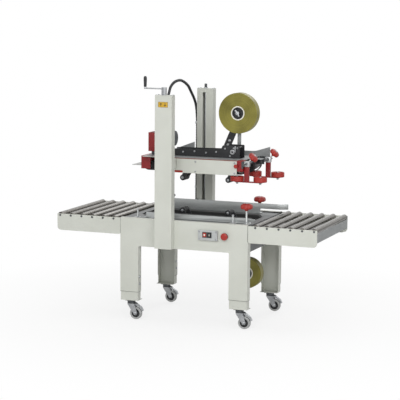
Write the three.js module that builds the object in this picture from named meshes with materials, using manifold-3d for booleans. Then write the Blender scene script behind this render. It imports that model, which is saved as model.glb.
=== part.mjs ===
// Carton sealer with top and bottom drive belts, two adhesive tape units, roller tables and a
// height-adjustable head. Millimetres, +Z up. +X points along the conveyor to the infeed end,
// -Y to the operator's side, and the floor under the casters is z = 0.
import * as THREE from 'three';
import { mergeVertices } from 'three/addons/utils/BufferGeometryUtils.js';
import Module from 'manifold-3d';

const wasm = await Module();
wasm.setup();

// ---- Overall sizes ----
const LENGTH = 1770; // over both roller tables
const HALF_WIDTH = 335; // machine centre to the outer face of a side panel
const TABLE_TOP = 674; // top of the conveyor rollers and the bottom belts
const SEAL_HEIGHT = 278; // carton height that the head is set to
const COLUMN_RISE = 788; // column top above the table top

// ---- Sheet steel and gaps ----
const SHEET = 2.5;
const GAP = 0.3; // between pieces that touch
const RUNNING = 0.4; // between a pin or shaft and its hole
const ROUND = 20; // sides of a large cylinder
const SMALL_ROUND = 12; // sides of a small cylinder

// ---- Body ----
const BODY_HALF_LENGTH = 435;
const BODY_HEIGHT = 181;
const BODY_TOP = TABLE_TOP - 7;
const BODY_BOTTOM = BODY_TOP - BODY_HEIGHT;
const PANEL_FLANGE = 33;
const DECK_TOP = BODY_TOP - 7;
const DECK_THICKNESS = 3;
const DECK_BOTTOM = DECK_TOP - DECK_THICKNESS;
const END_PANEL_DROP = 167;

// ---- Casters and legs ----
const WHEEL_RADIUS = 40;
const WHEEL_WIDTH = 24;
const CASTER_TRAIL = 33;
const CASTER_INSET = 38; // swivel axis inside the side panel's outer face
const CASTER_PLATE = 4;
const CASTER_PLATE_HALF = 31;
const CASTER_HEIGHT = 2 * WHEEL_RADIUS + 47;
const AXLE_RADIUS = 5;
const CHEEK = 3;
const LEG_WIDTH = 125;
const LEG_DEPTH = 50;
const LEG_CENTRE = BODY_HALF_LENGTH - LEG_WIDTH / 2;
const LEG_BOTTOM = CASTER_HEIGHT + 57;
const LEG_INSERTION = 266; // extension held inside the leg
const FOOT_DEPTH = 76;

// ---- Roller tables ----
const ROLLERS_PER_TABLE = 6;
const ROLLER_RADIUS = 19.5;
const ROLLER_STUB_RADIUS = 6;
const ROLLER_END_PLAY = 3;
const END_ROLLER_INSET = ROLLER_RADIUS + 1;
const FIRST_ROLLER_OFFSET = 48; // from the body to the nearest roller axis
const RAIL_TOP = TABLE_TOP - 10;
const RAIL_HEIGHT = 108;
const RAIL_BOTTOM = RAIL_TOP - RAIL_HEIGHT;
const RAIL_FLANGE = 25;
const RAIL_OUTER_CORNER = 28;
const RAIL_INNER_CORNER = 12;
const CROSS_PLATE_HEIGHT = 50;

// ---- Columns and lifting screws ----
const COLUMN_WIDTH = 115;
const COLUMN_DEPTH = 52;
const COLUMN_X = -117.5;
const COLUMN_TOP = TABLE_TOP + COLUMN_RISE;
const COLUMN_BOTTOM = BODY_BOTTOM + 2;
const COLUMN_Y = HALF_WIDTH + GAP + COLUMN_DEPTH / 2;
const SLOT_WIDTH = 22;
const SLOT_TOP = COLUMN_TOP - 25;
const SLOT_BOTTOM = TABLE_TOP + 26;
const SCREW_X = COLUMN_X - 5.5;
const SCREW_RADIUS = 8.5;
const SCREW_BOTTOM = COLUMN_BOTTOM + 12;
const REAR_STUB = 31; // rear screw above its column
const HUB_RADIUS = 17;
const HUB_HEIGHT = 49;
const CRANK_REACH = 129;
const CRANK_ARM_RADIUS = 4.5;
const CRANK_ARM_DROP = 9; // arm's axis below the hub's top
const GRIP_LENGTH = 67;
const GRIP_PIN_RADIUS = 4;

// ---- Head ----
const SEAL_Z = TABLE_TOP + SEAL_HEIGHT; // underside of the top belts
const HEAD_HALF_WIDTH = 178;
const HEAD_PLATE_Z = SEAL_Z + 94;
const HEAD_PLATE = 3;
const HEAD_TOP = HEAD_PLATE_Z + HEAD_PLATE;
const HEAD_LEFT = -350;
const HEAD_RIGHT = 330;
const HEAD_PANEL_LEFT = -250;
const HEAD_PANEL_RIGHT = 300;
const HEAD_PANEL_BOTTOM = SEAL_Z + 3;
const ARM_LEFT = SCREW_X - 27;
const ARM_RIGHT = SCREW_X + 10;
const ARM_BOTTOM = SEAL_Z + 33;
const NUT_HALF = 16;
const FRONT_PRESS = { rod: 357, left: 293, right: 448 };
const REAR_PRESS = { rod: 397, left: 308, right: 463 };
const PRESS_ROD_Z = SEAL_Z + 78;
const PRESS_ROD_RADIUS = 7;
const PRESS_ROD_HALF = 215;
const NOSE_HALF = 30;
const LUG = 6;

// ---- Belts ----
const BELT_INNER = 62;
const BELT_WIDTH = 40;
const BELT_OUTER = BELT_INNER + BELT_WIDTH;
const TOP_BELT_RADIUS = 28;
const TOP_BELT_LEFT = -340;
const TOP_BELT_RIGHT = 300;
const BOTTOM_BELT_RADIUS = 30;
const BOTTOM_BELT_HALF = 350;
const BELT_SHAFT_RADIUS = 8;
const DECK_OPENING_X = BOTTOM_BELT_HALF + BOTTOM_BELT_RADIUS + 5;
const DECK_OPENING_Y = BELT_OUTER + 3;

// ---- Tape units ----
const TAPE_PLATE = 3;
const TAPE_INNER = 44; // machine centre to the inner face of a side plate
const TAPE_LEFT = -200;
const TAPE_RIGHT = 270;
const TAPE_HEIGHT = 115;
const TAPE_SHOULDER = 29; // extra height where the roll arm is bolted on
const TAPE_SHOULDER_X = 154;
const PIVOT_RADIUS = 7;
const PIVOT_SLEEVE = 12;
const APPLYING_PIVOT_X = 255;
const BUFFING_PIVOT_X = -60;
const ARM_BACK = 65; // roller behind its pivot, along the conveyor
const ARM_REACH = 105; // roller beyond its pivot, across the carton face
const ARM_HALF = 14;
const ARM_THICKNESS = 4;
const ARM_SIDE = 41;
const WIPE_RADIUS = 19;
const UPPER_PIVOT_Z = SEAL_Z + 58;
const LOWER_PIVOT_Z = TABLE_TOP - 89;
const UPPER_PLATE_EDGE = UPPER_PIVOT_Z - 25;
const LOWER_PLATE_EDGE = TABLE_TOP - 20;
const TAPE_ROLL_WIDTH = 60;
const SPINDLE_RADIUS = 10;
const UPPER_ROLL_RADIUS = 130;
const UPPER_ROLL_X = 248;
const UPPER_ROLL_RISE = 327; // roll centre above the applying pivot
const LOWER_ROLL_RADIUS = 100;
const LOWER_ROLL_X = 318;
const LOWER_ROLL_DROP = 280; // roll centre below the applying pivot
const ROLL_ARM_INNER = 38.5;

// ---- Side press rollers ----
const PRESS_Y = 150;
const PRESS_RADIUS = 43;
const PRESS_WIDTH = 32;
const PRESS_BOTTOM = SEAL_Z - 34;
const PRESS_KNOB_RADIUS = 32;
const PRESS_AXLE_RADIUS = 6;

// ---- Side guides ----
const GUIDE_Y = 225;
const GUIDE_SHEET = 3;
const GUIDE_LEFT = -300;
const GUIDE_KNOB_RADIUS = 38;

// ---- Controls ----
const BOX_LEFT = 108;
const BOX_RIGHT = 238;
const BOX_DEPTH = 18;
const BOX_HEIGHT = 63;
const BOX_BOTTOM = BODY_BOTTOM + 72;
const BUTTON_WIDTH = 22;
const BUTTON_HEIGHT = 28;
const BUTTON_LENGTH = 10;
const BUTTON_PROUD = 4;
const BUTTON_WELL = 12;
const STOP_BUTTON_X = 153;
const START_BUTTON_X = 185;
const EMERGENCY_X = 284;
const EMERGENCY_Z = BODY_BOTTOM + 102;
const EMERGENCY_STEM = 8;

const Y = new THREE.Vector3(0, 1, 0);
const Z = new THREE.Vector3(0, 0, 1);

// ---------- solids ----------

// A closed geometry as a solid that can be joined and cut.
function solid(geometry) {
  geometry.deleteAttribute('normal');
  geometry.deleteAttribute('uv');
  const merged = mergeVertices(geometry, 1e-4);
  const index = Array.from(merged.index.array);
  const triangles = [];
  for (let i = 0; i < index.length; i += 3) {
    const [a, b, c] = index.slice(i, i + 3);
    if (a !== b && b !== c && c !== a) triangles.push(a, b, c);
  }
  return new wasm.Manifold(new wasm.Mesh({
    numProp: 3,
    vertProperties: new Float32Array(merged.attributes.position.array),
    triVerts: new Uint32Array(triangles),
  }));
}

// A box between two values on each axis, given in either order.
function block([x0, x1], [y0, y1], [z0, z1]) {
  const size = [x1 - x0, y1 - y0, z1 - z0].map(Math.abs);
  const box = new THREE.BoxGeometry(...size);
  return solid(box.translate((x0 + x1) / 2, (y0 + y1) / 2, (z0 + z1) / 2));
}

// A round bar from point a to point b.
function rod(a, b, radius, sides = SMALL_ROUND) {
  const start = new THREE.Vector3(...a);
  const along = new THREE.Vector3(...b).sub(start);
  const bar = new THREE.CylinderGeometry(radius, radius, along.length(), sides);
  const turn = new THREE.Quaternion().setFromUnitVectors(Y, along.clone().normalize());
  bar.applyQuaternion(turn);
  const middle = start.addScaledVector(along, 0.5);
  return solid(bar.translate(middle.x, middle.y, middle.z));
}

// A lobed hand knob from point a to point b.
const KNOB_LOBES = 7;
const POINTS_PER_LOBE = 6;
const LOBE_DEPTH = 0.16; // of the knob's radius
function starKnob(a, b, radius) {
  const start = new THREE.Vector3(...a);
  const along = new THREE.Vector3(...b).sub(start);
  const rim = Array.from({ length: KNOB_LOBES * POINTS_PER_LOBE }, (_, i) => {
    const angle = (2 * Math.PI * i) / (KNOB_LOBES * POINTS_PER_LOBE);
    const wave = (1 - Math.cos(KNOB_LOBES * angle)) / 2;
    const reach = radius * (1 - LOBE_DEPTH * wave);
    return new THREE.Vector2(reach * Math.cos(angle), reach * Math.sin(angle));
  });
  const depth = along.length();
  const knob = new THREE.ExtrudeGeometry(new THREE.Shape(rim), { depth, bevelEnabled: false });
  knob.applyQuaternion(new THREE.Quaternion().setFromUnitVectors(Z, along.normalize()));
  return solid(knob.translate(start.x, start.y, start.z));
}

// An outline whose points are [u, v] or [u, v, corner radius].
function outline(points) {
  const shape = new THREE.Shape();
  points.forEach(([u, v, radius = 0], i) => {
    const corner = new THREE.Vector2(u, v);
    const before = new THREE.Vector2(...points.at(i - 1)).sub(corner).setLength(radius).add(corner);
    const next = points[(i + 1) % points.length];
    const after = new THREE.Vector2(...next).sub(corner).setLength(radius).add(corner);
    if (i === 0) shape.moveTo(after.x, after.y);
    else shape.lineTo(before.x, before.y);
    if (radius && i > 0) shape.quadraticCurveTo(u, v, after.x, after.y);
  });
  return shape;
}

// A flat bar with round ends from a to b, in its own plane.
function strap([au, av], [bu, bv], half) {
  const angle = Math.atan2(bv - av, bu - au);
  const shape = new THREE.Shape();
  shape.absarc(au, av, half, angle + Math.PI / 2, angle - Math.PI / 2, false);
  shape.absarc(bu, bv, half, angle - Math.PI / 2, angle + Math.PI / 2, false);
  return shape;
}

// A sheet whose outline lies in X and Z, between two values of Y.
function upright(shape, [y0, y1]) {
  const depth = Math.abs(y1 - y0);
  const sheet = new THREE.ExtrudeGeometry(shape, { depth, bevelEnabled: false, curveSegments: 4 });
  return solid(sheet.rotateX(Math.PI / 2).translate(0, Math.max(y0, y1), 0));
}

// A sheet whose outline lies in X and Y, between two heights.
function level(shape, [z0, z1]) {
  const depth = z1 - z0;
  const sheet = new THREE.ExtrudeGeometry(shape, { depth, bevelEnabled: false, curveSegments: 4 });
  return solid(sheet.translate(0, 0, z0));
}

// A ring or turned piece about Z. The profile is a closed list of [radius, height].
function turned(profile, sides = ROUND) {
  const points = [...profile, profile[0]].map(([r, h]) => new THREE.Vector2(r, h));
  return solid(new THREE.LatheGeometry(points, sides).rotateX(Math.PI / 2));
}

function join(...pieces) {
  return pieces.reduce((whole, piece) => whole.add(piece));
}

function cut(whole, ...tools) {
  return tools.reduce((rest, tool) => rest.subtract(tool), whole);
}

// ---------- assembly ----------

const machine = new THREE.Group();

const PAINT = { color: 0xcdcfc6, roughness: 0.45, metalness: 0.0 };
const ZINC = { color: 0xb4b6b8, roughness: 0.35, metalness: 0.9 };
const ROLLER_STEEL = { color: 0x9a9c9c, roughness: 0.4, metalness: 0.8 };
const BLACK = { color: 0x1e1f21, roughness: 0.5, metalness: 0.1 };
const CRIMSON = { color: 0x8e1a1c, roughness: 0.4, metalness: 0.0 };
const RED_PLASTIC = { color: 0xc8341f, roughness: 0.4, metalness: 0.0 };
const TAPE = { color: 0x82803a, roughness: 0.3, metalness: 0.0 };
const TYRE = { color: 0xa8a9a8, roughness: 0.7, metalness: 0.0 };
const MOTOR_GREY = { color: 0x5a5d60, roughness: 0.6, metalness: 0.2 };

// Adds one named piece, placed at a position, in its own finish.
function add(name, body, finish, [x, y, z] = [0, 0, 0], parent = machine) {
  const mesh = body.getMesh();
  const geometry = new THREE.BufferGeometry();
  geometry.setAttribute('position', new THREE.BufferAttribute(mesh.vertProperties, 3));
  geometry.setIndex(new THREE.BufferAttribute(mesh.triVerts, 1));
  geometry.computeVertexNormals();
  const piece = new THREE.Mesh(geometry, new THREE.MeshStandardMaterial(finish));
  piece.name = name;
  piece.position.set(x, y, z);
  parent.add(piece);
  return piece;
}

const SIDES = [['front', -1], ['rear', 1]];
const ENDS = [['outfeed', -1], ['infeed', 1]];

// A folded side panel in one sheet with the two outer legs. The legs are channels that open
// inwards, and the panel has a flange along its top and its arch.
function sidePanel(side) {
  const outer = side * HALF_WIDTH;
  const inner = side * (HALF_WIDTH - SHEET);
  const archX = BODY_HALF_LENGTH - LEG_WIDTH;
  const skin = upright(outline([
    [-BODY_HALF_LENGTH, BODY_TOP],
    [-BODY_HALF_LENGTH, LEG_BOTTOM],
    [-archX, LEG_BOTTOM],
    [-archX, BODY_BOTTOM, 10],
    [archX, BODY_BOTTOM, 10],
    [archX, LEG_BOTTOM],
    [BODY_HALF_LENGTH, LEG_BOTTOM],
    [BODY_HALF_LENGTH, BODY_TOP],
  ]), [inner, outer]);
  const flangeY = [side * (HALF_WIDTH - PANEL_FLANGE), side * (HALF_WIDTH - SHEET / 2)];
  const top = block([-BODY_HALF_LENGTH, BODY_HALF_LENGTH], flangeY, [BODY_TOP - SHEET, BODY_TOP]);
  const arch = block([-archX + 10, archX - 10], flangeY, [BODY_BOTTOM, BODY_BOTTOM + SHEET]);
  const legY = [side * (HALF_WIDTH - LEG_DEPTH), side * (HALF_WIDTH - SHEET / 2)];
  const legZ = [LEG_BOTTOM, DECK_BOTTOM - GAP];
  const cheeks = [-1, 1].flatMap((end) => [
    block([end * BODY_HALF_LENGTH, end * (BODY_HALF_LENGTH - SHEET)], legY, legZ),
    block([end * archX, end * (archX + SHEET)], legY, legZ),
  ]);
  return join(skin, top, arch, ...cheeks);
}

function frontPanel() {
  const stemHole = rod([EMERGENCY_X, -HALF_WIDTH - 1, EMERGENCY_Z],
    [EMERGENCY_X, -HALF_WIDTH + SHEET + 1, EMERGENCY_Z], EMERGENCY_STEM + RUNNING);
  return cut(sidePanel(-1), stemHole);
}

// The rear panel carries a junction box beside its column, where the conduit ends.
const JUNCTION_TOP = BODY_TOP - 27;
const JUNCTION_HEIGHT = 80;
const JUNCTION_WIDTH = 44;
const COLUMN_LEFT = COLUMN_X - COLUMN_WIDTH / 2;
function rearPanel() {
  const right = COLUMN_LEFT - 2;
  const box = block([right - JUNCTION_WIDTH, right], [HALF_WIDTH - 1, HALF_WIDTH + 50],
    [JUNCTION_TOP - JUNCTION_HEIGHT, JUNCTION_TOP]);
  return join(sidePanel(1), box);
}

// The deck closes the body's top between the side panels, and is folded down at both ends.
function deckPlate() {
  const halfX = BODY_HALF_LENGTH - GAP;
  const halfY = HALF_WIDTH - SHEET - GAP;
  const endY = HALF_WIDTH - LEG_DEPTH - GAP;
  const plate = block([-halfX, halfX], [-halfY, halfY], [DECK_BOTTOM, DECK_TOP]);
  const opening = block([-DECK_OPENING_X, DECK_OPENING_X], [-DECK_OPENING_Y, DECK_OPENING_Y],
    [DECK_BOTTOM - 1, DECK_TOP + 1]);
  const ends = [-1, 1].map((end) => block([end * halfX, end * (halfX - SHEET)], [-endY, endY],
    [DECK_TOP - END_PANEL_DROP, DECK_TOP - 1]));
  return join(cut(plate, opening), ...ends);
}

// The inner leg slides in the outer one and carries the caster's mounting plate.
function legExtension(side, end) {
  const half = LEG_WIDTH / 2 - SHEET - RUNNING;
  const face = HALF_WIDTH - SHEET - RUNNING;
  const centre = end * LEG_CENTRE;
  const reach = [side * (HALF_WIDTH - LEG_DEPTH + 2), side * face];
  const height = [CASTER_HEIGHT, LEG_BOTTOM + LEG_INSERTION];
  const web = block([centre - half, centre + half], [side * (face - SHEET), side * face], height);
  const flanges = [-1, 1].map((edge) => block(
    [centre + edge * half, centre + edge * (half - SHEET)], reach, height));
  const foot = block([centre - half, centre + half],
    [side * (HALF_WIDTH - FOOT_DEPTH), side * face], [CASTER_HEIGHT, CASTER_HEIGHT + SHEET]);
  const swivelY = side * (HALF_WIDTH - CASTER_INSET);
  const plate = block([centre - CASTER_PLATE_HALF, centre + CASTER_PLATE_HALF],
    [swivelY - CASTER_PLATE_HALF, swivelY + CASTER_PLATE_HALF],
    [CASTER_HEIGHT - CASTER_PLATE, CASTER_HEIGHT + 1]);
  return join(web, ...flanges, foot, plate);
}

// A swivel fork about its own swivel axis: race, crown, two cheeks, wheel axle and brake pedal.
function casterFork() {
  const top = CASTER_HEIGHT - CASTER_PLATE - GAP;
  const crownTop = top - 14;
  const crownBottom = crownTop - 8;
  const inside = WHEEL_WIDTH / 2 + 2;
  const race = rod([0, 0, crownTop - 1], [0, 0, top], 26, ROUND);
  const crown = block([-21, 24], [-inside - CHEEK, inside + CHEEK], [crownBottom, crownTop]);
  const cheekShape = outline([
    [-21, crownTop],
    [24, crownTop],
    [CASTER_TRAIL + 13, WHEEL_RADIUS + 2],
    [CASTER_TRAIL + 9, WHEEL_RADIUS - 10],
    [CASTER_TRAIL - 7, WHEEL_RADIUS - 11],
    [-21, crownBottom - 3],
  ]);
  const cheeks = [-1, 1].map((side) => upright(cheekShape, [side * inside, side * (inside + CHEEK)]));
  const axleEnd = inside + CHEEK + 4;
  const axle = rod([CASTER_TRAIL, -axleEnd, WHEEL_RADIUS], [CASTER_TRAIL, axleEnd, WHEEL_RADIUS],
    AXLE_RADIUS);
  const beyondTread = (degrees, distance) => {
    const reach = WHEEL_RADIUS + distance;
    const angle = THREE.MathUtils.degToRad(degrees);
    return [CASTER_TRAIL + reach * Math.cos(angle), WHEEL_RADIUS + reach * Math.sin(angle)];
  };
  const pedal = upright(outline([
    [20, crownTop],
    [20, crownBottom + 1],
    beyondTread(48, 6),
    beyondTread(18, 8),
    beyondTread(19, 15),
    beyondTread(46, 18),
    [CASTER_TRAIL, crownTop],
  ]), [-9, 9]);
  return join(race, crown, ...cheeks, axle, pedal);
}

// A wheel about its own axle, which lies along Y.
function casterWheel() {
  const half = WHEEL_WIDTH / 2;
  const hub = half + 2 - GAP;
  const shoulder = 4;
  const bore = AXLE_RADIUS + RUNNING;
  return turned([
    [bore, -hub],
    [12, -hub],
    [12, -half],
    [WHEEL_RADIUS - shoulder, -half],
    [WHEEL_RADIUS, shoulder - half],
    [WHEEL_RADIUS, half - shoulder],
    [WHEEL_RADIUS - shoulder, half],
    [12, half],
    [12, hub],
    [bore, hub],
  ], 28).rotate([90, 0, 0]);
}

// A roller table frame: two side rails with a flange under them, and a cross plate at each end.
function tableFrame(end) {
  const near = BODY_HALF_LENGTH + GAP;
  const far = LENGTH / 2;
  const rail = outline([
    [end * near, RAIL_TOP],
    [end * near, RAIL_BOTTOM, RAIL_INNER_CORNER],
    [end * far, RAIL_BOTTOM, RAIL_OUTER_CORNER],
    [end * far, RAIL_TOP],
  ]);
  const rails = [-1, 1].map((side) => upright(rail,
    [side * HALF_WIDTH, side * (HALF_WIDTH - SHEET)]));
  const flanges = [-1, 1].map((side) => block(
    [end * (near + RAIL_INNER_CORNER), end * (far - RAIL_OUTER_CORNER)],
    [side * (HALF_WIDTH - SHEET / 2), side * (HALF_WIDTH - RAIL_FLANGE)],
    [RAIL_BOTTOM, RAIL_BOTTOM + SHEET]));
  const plateY = [-HALF_WIDTH + SHEET / 2, HALF_WIDTH - SHEET / 2];
  const plateZ = [RAIL_BOTTOM + RAIL_OUTER_CORNER, RAIL_BOTTOM + RAIL_OUTER_CORNER + CROSS_PLATE_HEIGHT];
  const nearPlate = block([end * near, end * (near + SHEET)], plateY, plateZ);
  const farPlate = block([end * far, end * (far - SHEET)], plateY, plateZ);
  return join(...rails, ...flanges, nearPlate, farPlate);
}

// A conveyor roller about its own axis, with the axle ends that meet the rails.
function conveyorRoller() {
  const inside = HALF_WIDTH - SHEET;
  const tube = rod([0, -inside + ROLLER_END_PLAY, 0], [0, inside - ROLLER_END_PLAY, 0],
    ROLLER_RADIUS, 16);
  const axle = rod([0, -inside + GAP, 0], [0, inside - GAP, 0], ROLLER_STUB_RADIUS, 8);
  return join(tube, axle);
}

// A column: a square tube open below, slotted on its inner face for the head's arm.
function column(side) {
  const halfWidth = COLUMN_WIDTH / 2;
  const halfDepth = COLUMN_DEPTH / 2;
  const centre = side * COLUMN_Y;
  const tube = block([COLUMN_X - halfWidth, COLUMN_X + halfWidth],
    [centre - halfDepth, centre + halfDepth], [COLUMN_BOTTOM, COLUMN_TOP]);
  const inside = block([COLUMN_X - halfWidth + SHEET, COLUMN_X + halfWidth - SHEET],
    [centre - halfDepth + SHEET, centre + halfDepth - SHEET], [COLUMN_BOTTOM - 1, COLUMN_TOP - SHEET]);
  const slot = block([SCREW_X - SLOT_WIDTH / 2, SCREW_X + SLOT_WIDTH / 2],
    [centre, centre - side * (halfDepth + 1)], [SLOT_BOTTOM, SLOT_TOP]);
  const screwHole = rod([SCREW_X, centre, COLUMN_TOP - SHEET - 1], [SCREW_X, centre, COLUMN_TOP + 1],
    SCREW_RADIUS + RUNNING);
  return cut(tube, inside, slot, screwHole);
}

// The front lifting screw with its hub, crank arm and the pin that the grip turns on.
const CRANK_Z = COLUMN_TOP + HUB_HEIGHT - CRANK_ARM_DROP;
const GRIP_X = SCREW_X - CRANK_REACH;
const GRIP_BOTTOM = COLUMN_TOP + HUB_HEIGHT;
const GRIP_TOP = GRIP_BOTTOM + GRIP_LENGTH;
function frontScrew() {
  const y = -COLUMN_Y;
  const screw = rod([SCREW_X, y, SCREW_BOTTOM], [SCREW_X, y, COLUMN_TOP + 2], SCREW_RADIUS);
  const hub = rod([SCREW_X, y, COLUMN_TOP + GAP], [SCREW_X, y, COLUMN_TOP + HUB_HEIGHT], HUB_RADIUS, ROUND);
  const arm = rod([SCREW_X, y, CRANK_Z], [GRIP_X - CRANK_ARM_RADIUS, y, CRANK_Z], CRANK_ARM_RADIUS);
  const shoulder = rod([GRIP_X, y, CRANK_Z - 5], [GRIP_X, y, GRIP_BOTTOM - GAP], 7);
  const pin = rod([GRIP_X, y, CRANK_Z], [GRIP_X, y, GRIP_TOP - 4], GRIP_PIN_RADIUS);
  return join(screw, hub, arm, shoulder, pin);
}

// The crank's grip, about its own pin: a tapered sleeve closed at its top.
function crankGrip() {
  const bore = GRIP_PIN_RADIUS + RUNNING;
  return turned([
    [bore, 0],
    [7.5, 0],
    [10.5, GRIP_LENGTH - 16],
    [9, GRIP_LENGTH - 4],
    [5, GRIP_LENGTH],
    [0, GRIP_LENGTH],
    [0, GRIP_LENGTH - 4 + GAP],
    [bore, GRIP_LENGTH - 4 + GAP],
  ], SMALL_ROUND);
}

function rearScrew() {
  const y = COLUMN_Y;
  const screw = rod([SCREW_X, y, SCREW_BOTTOM], [SCREW_X, y, COLUMN_TOP + REAR_STUB], SCREW_RADIUS);
  const collar = rod([SCREW_X, y, COLUMN_TOP + GAP], [SCREW_X, y, COLUMN_TOP + 6], SCREW_RADIUS + 5);
  return join(screw, collar);
}

// The arm of the head that runs through a column's slot, and its nut on the lifting screw.
function liftingArm(side) {
  const inside = side * (HALF_WIDTH - 8);
  const arm = block([ARM_LEFT, ARM_RIGHT], [side * (HEAD_HALF_WIDTH - 3), inside],
    [ARM_BOTTOM, HEAD_PLATE_Z + 1]);
  const neck = block([SCREW_X - SLOT_WIDTH / 2 + 1, SCREW_X + SLOT_WIDTH / 2 - 1],
    [inside - side, side * (COLUMN_Y - NUT_HALF + 1)], [ARM_BOTTOM, HEAD_PLATE_Z]);
  const nut = block([SCREW_X - NUT_HALF, SCREW_X + NUT_HALF],
    [side * (COLUMN_Y - NUT_HALF), side * (COLUMN_Y + NUT_HALF)], [ARM_BOTTOM - 8, HEAD_TOP]);
  return join(arm, neck, nut);
}

// The head's chassis: top plate with the tape unit's opening, rear panel with a raised infeed
// end, lifting arms, hangers for the belt shafts, and the nose with the press rollers' rod.
function headChassis() {
  const plate = block([HEAD_LEFT, HEAD_RIGHT], [-HEAD_HALF_WIDTH, HEAD_HALF_WIDTH],
    [HEAD_PLATE_Z, HEAD_TOP]);
  const opening = block([TAPE_LEFT - 6, TAPE_RIGHT + 6], [-TAPE_INNER - 8, TAPE_INNER + 8],
    [HEAD_PLATE_Z - 1, HEAD_TOP + 1]);
  const frontFlange = block([HEAD_PANEL_LEFT, HEAD_PANEL_RIGHT],
    [-HEAD_HALF_WIDTH, -HEAD_HALF_WIDTH + SHEET], [HEAD_PLATE_Z - 31, HEAD_TOP - 1]);
  const rearPanelSheet = upright(outline([
    [HEAD_PANEL_LEFT, HEAD_PANEL_BOTTOM],
    [HEAD_PANEL_RIGHT, HEAD_PANEL_BOTTOM, 20],
    [HEAD_PANEL_RIGHT + 99, HEAD_PANEL_BOTTOM + 85],
    [HEAD_PANEL_RIGHT + 99, HEAD_PLATE_Z + 63],
    [HEAD_PANEL_RIGHT - 2, HEAD_PLATE_Z + 31, 20],
    [HEAD_PANEL_LEFT, HEAD_PLATE_Z + 31],
  ]), [HEAD_HALF_WIDTH - 0.5, HEAD_HALF_WIDTH + SHEET]);
  const gusset = upright(outline([
    [TAPE_LEFT, HEAD_TOP - 1],
    [TAPE_LEFT + 116, HEAD_TOP - 1],
    [TAPE_LEFT + 116, HEAD_TOP + 83],
    [TAPE_LEFT, HEAD_TOP + 39],
  ]), [66, 69]);
  const frontBracket = block([HEAD_PANEL_RIGHT - 3, FRONT_PRESS.rod - 17], [-HEAD_HALF_WIDTH, -BELT_OUTER - 12],
    [SEAL_Z + 30, HEAD_PLATE_Z + 1]);
  const tongue = block([HEAD_RIGHT - 1, REAR_PRESS.rod + 15], [-NOSE_HALF, NOSE_HALF],
    [HEAD_PLATE_Z, HEAD_TOP]);
  const lugs = [[FRONT_PRESS, -1], [REAR_PRESS, 1]].map(([press, side]) => block(
    [HEAD_RIGHT + 5, press.rod + 15], [side * (NOSE_HALF - LUG), side * NOSE_HALF],
    [PRESS_ROD_Z - 18, HEAD_TOP - 1]));
  const pressRods = [[FRONT_PRESS, -1], [REAR_PRESS, 1]].map(([press, side]) => rod(
    [press.rod, side * (NOSE_HALF - LUG), PRESS_ROD_Z],
    [press.rod, side * PRESS_ROD_HALF, PRESS_ROD_Z], PRESS_ROD_RADIUS));
  const shaftZ = SEAL_Z + TOP_BELT_RADIUS;
  const hangers = [TOP_BELT_LEFT, TOP_BELT_RIGHT].flatMap((x) => [-1, 1].map((side) => cut(
    block([x - 15, x + 15], [side * (BELT_OUTER + 3), side * (BELT_OUTER + 7)],
      [shaftZ - 15, HEAD_TOP - 1]),
    rod([x, side * (BELT_OUTER + 2), shaftZ], [x, side * (BELT_OUTER + 8), shaftZ],
      BELT_SHAFT_RADIUS + RUNNING))));
  const whole = join(cut(plate, opening), frontFlange, rearPanelSheet, gusset, frontBracket, tongue,
    ...lugs, ...pressRods, ...hangers, liftingArm(-1), liftingArm(1));
  const screwHoles = [-1, 1].map((side) => rod([SCREW_X, side * COLUMN_Y, ARM_BOTTOM - 10],
    [SCREW_X, side * COLUMN_Y, HEAD_TOP + 2], SCREW_RADIUS + RUNNING));
  return cut(whole, ...screwHoles);
}

// The head's front cover, notched where the lifting arm passes.
function headFrontPanel() {
  const inner = -HEAD_HALF_WIDTH - GAP;
  const outer = inner - SHEET;
  const skin = block([HEAD_PANEL_LEFT, HEAD_PANEL_RIGHT], [inner, outer],
    [HEAD_PANEL_BOTTOM, HEAD_PLATE_Z]);
  const lip = block([HEAD_PANEL_LEFT, HEAD_PANEL_RIGHT - 6], [outer + 1, inner + 15],
    [HEAD_PANEL_BOTTOM, HEAD_PANEL_BOTTOM + SHEET]);
  const notch = block([ARM_LEFT - 1, ARM_RIGHT + 1], [inner + 16, outer - 1],
    [ARM_BOTTOM - 1, HEAD_PLATE_Z + 1]);
  return cut(join(skin, lip), notch);
}

// A belt loop with its bed inside, on one side of the machine.
function beltLoop(side, [x0, x1], bottom, radius) {
  const y = [side * BELT_INNER, side * BELT_OUTER];
  const axis = bottom + radius;
  const bed = block([x0, x1], y, [bottom, bottom + 2 * radius]);
  const pulleys = [x0, x1].map((x) => rod([x, y[0], axis], [x, y[1], axis], radius, 24));
  return join(bed, ...pulleys);
}

function beltShaft(x, z) {
  const reach = BELT_OUTER + 9;
  return rod([x, -reach, z], [x, reach, z], BELT_SHAFT_RADIUS);
}

function topBelts() {
  const span = [TOP_BELT_LEFT, TOP_BELT_RIGHT];
  const loops = [-1, 1].map((side) => beltLoop(side, span, SEAL_Z, TOP_BELT_RADIUS));
  return join(...loops, ...span.map((x) => beltShaft(x, SEAL_Z + TOP_BELT_RADIUS)));
}

// The guard at the outfeed end of the head: a cover over the belts' pulleys, open below and
// behind, a hold-down plate for the carton and the cover of the drive beside the motor.
function driveGuard() {
  const top = HEAD_PLATE_Z - GAP;
  const left = TOP_BELT_LEFT - 41;
  const half = BELT_OUTER + 23;
  const within = half - 3;
  const cover = block([left, left + 65], [-half, half], [SEAL_Z + 10, top]);
  const hollow = block([left + 3, left + 66], [-within, within], [SEAL_Z + 9, top - 3]);
  const hangerGap = block([TOP_BELT_LEFT - 16, left + 66], [-within, within], [top - 4, top + 1]);
  const holdDown = block([left - 79, left + 1], [-93, 93], [SEAL_Z + 26, SEAL_Z + 29]);
  const towerLeft = left + 22;
  const neck = block([towerLeft, HEAD_LEFT - 2], [10, 60], [top - 3, top + 25]);
  const tower = block([towerLeft, left + 33], [-60, 60], [top + 24, top + 147]);
  return join(cut(cover, hollow, hangerGap), holdDown, neck, tower);
}

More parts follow.
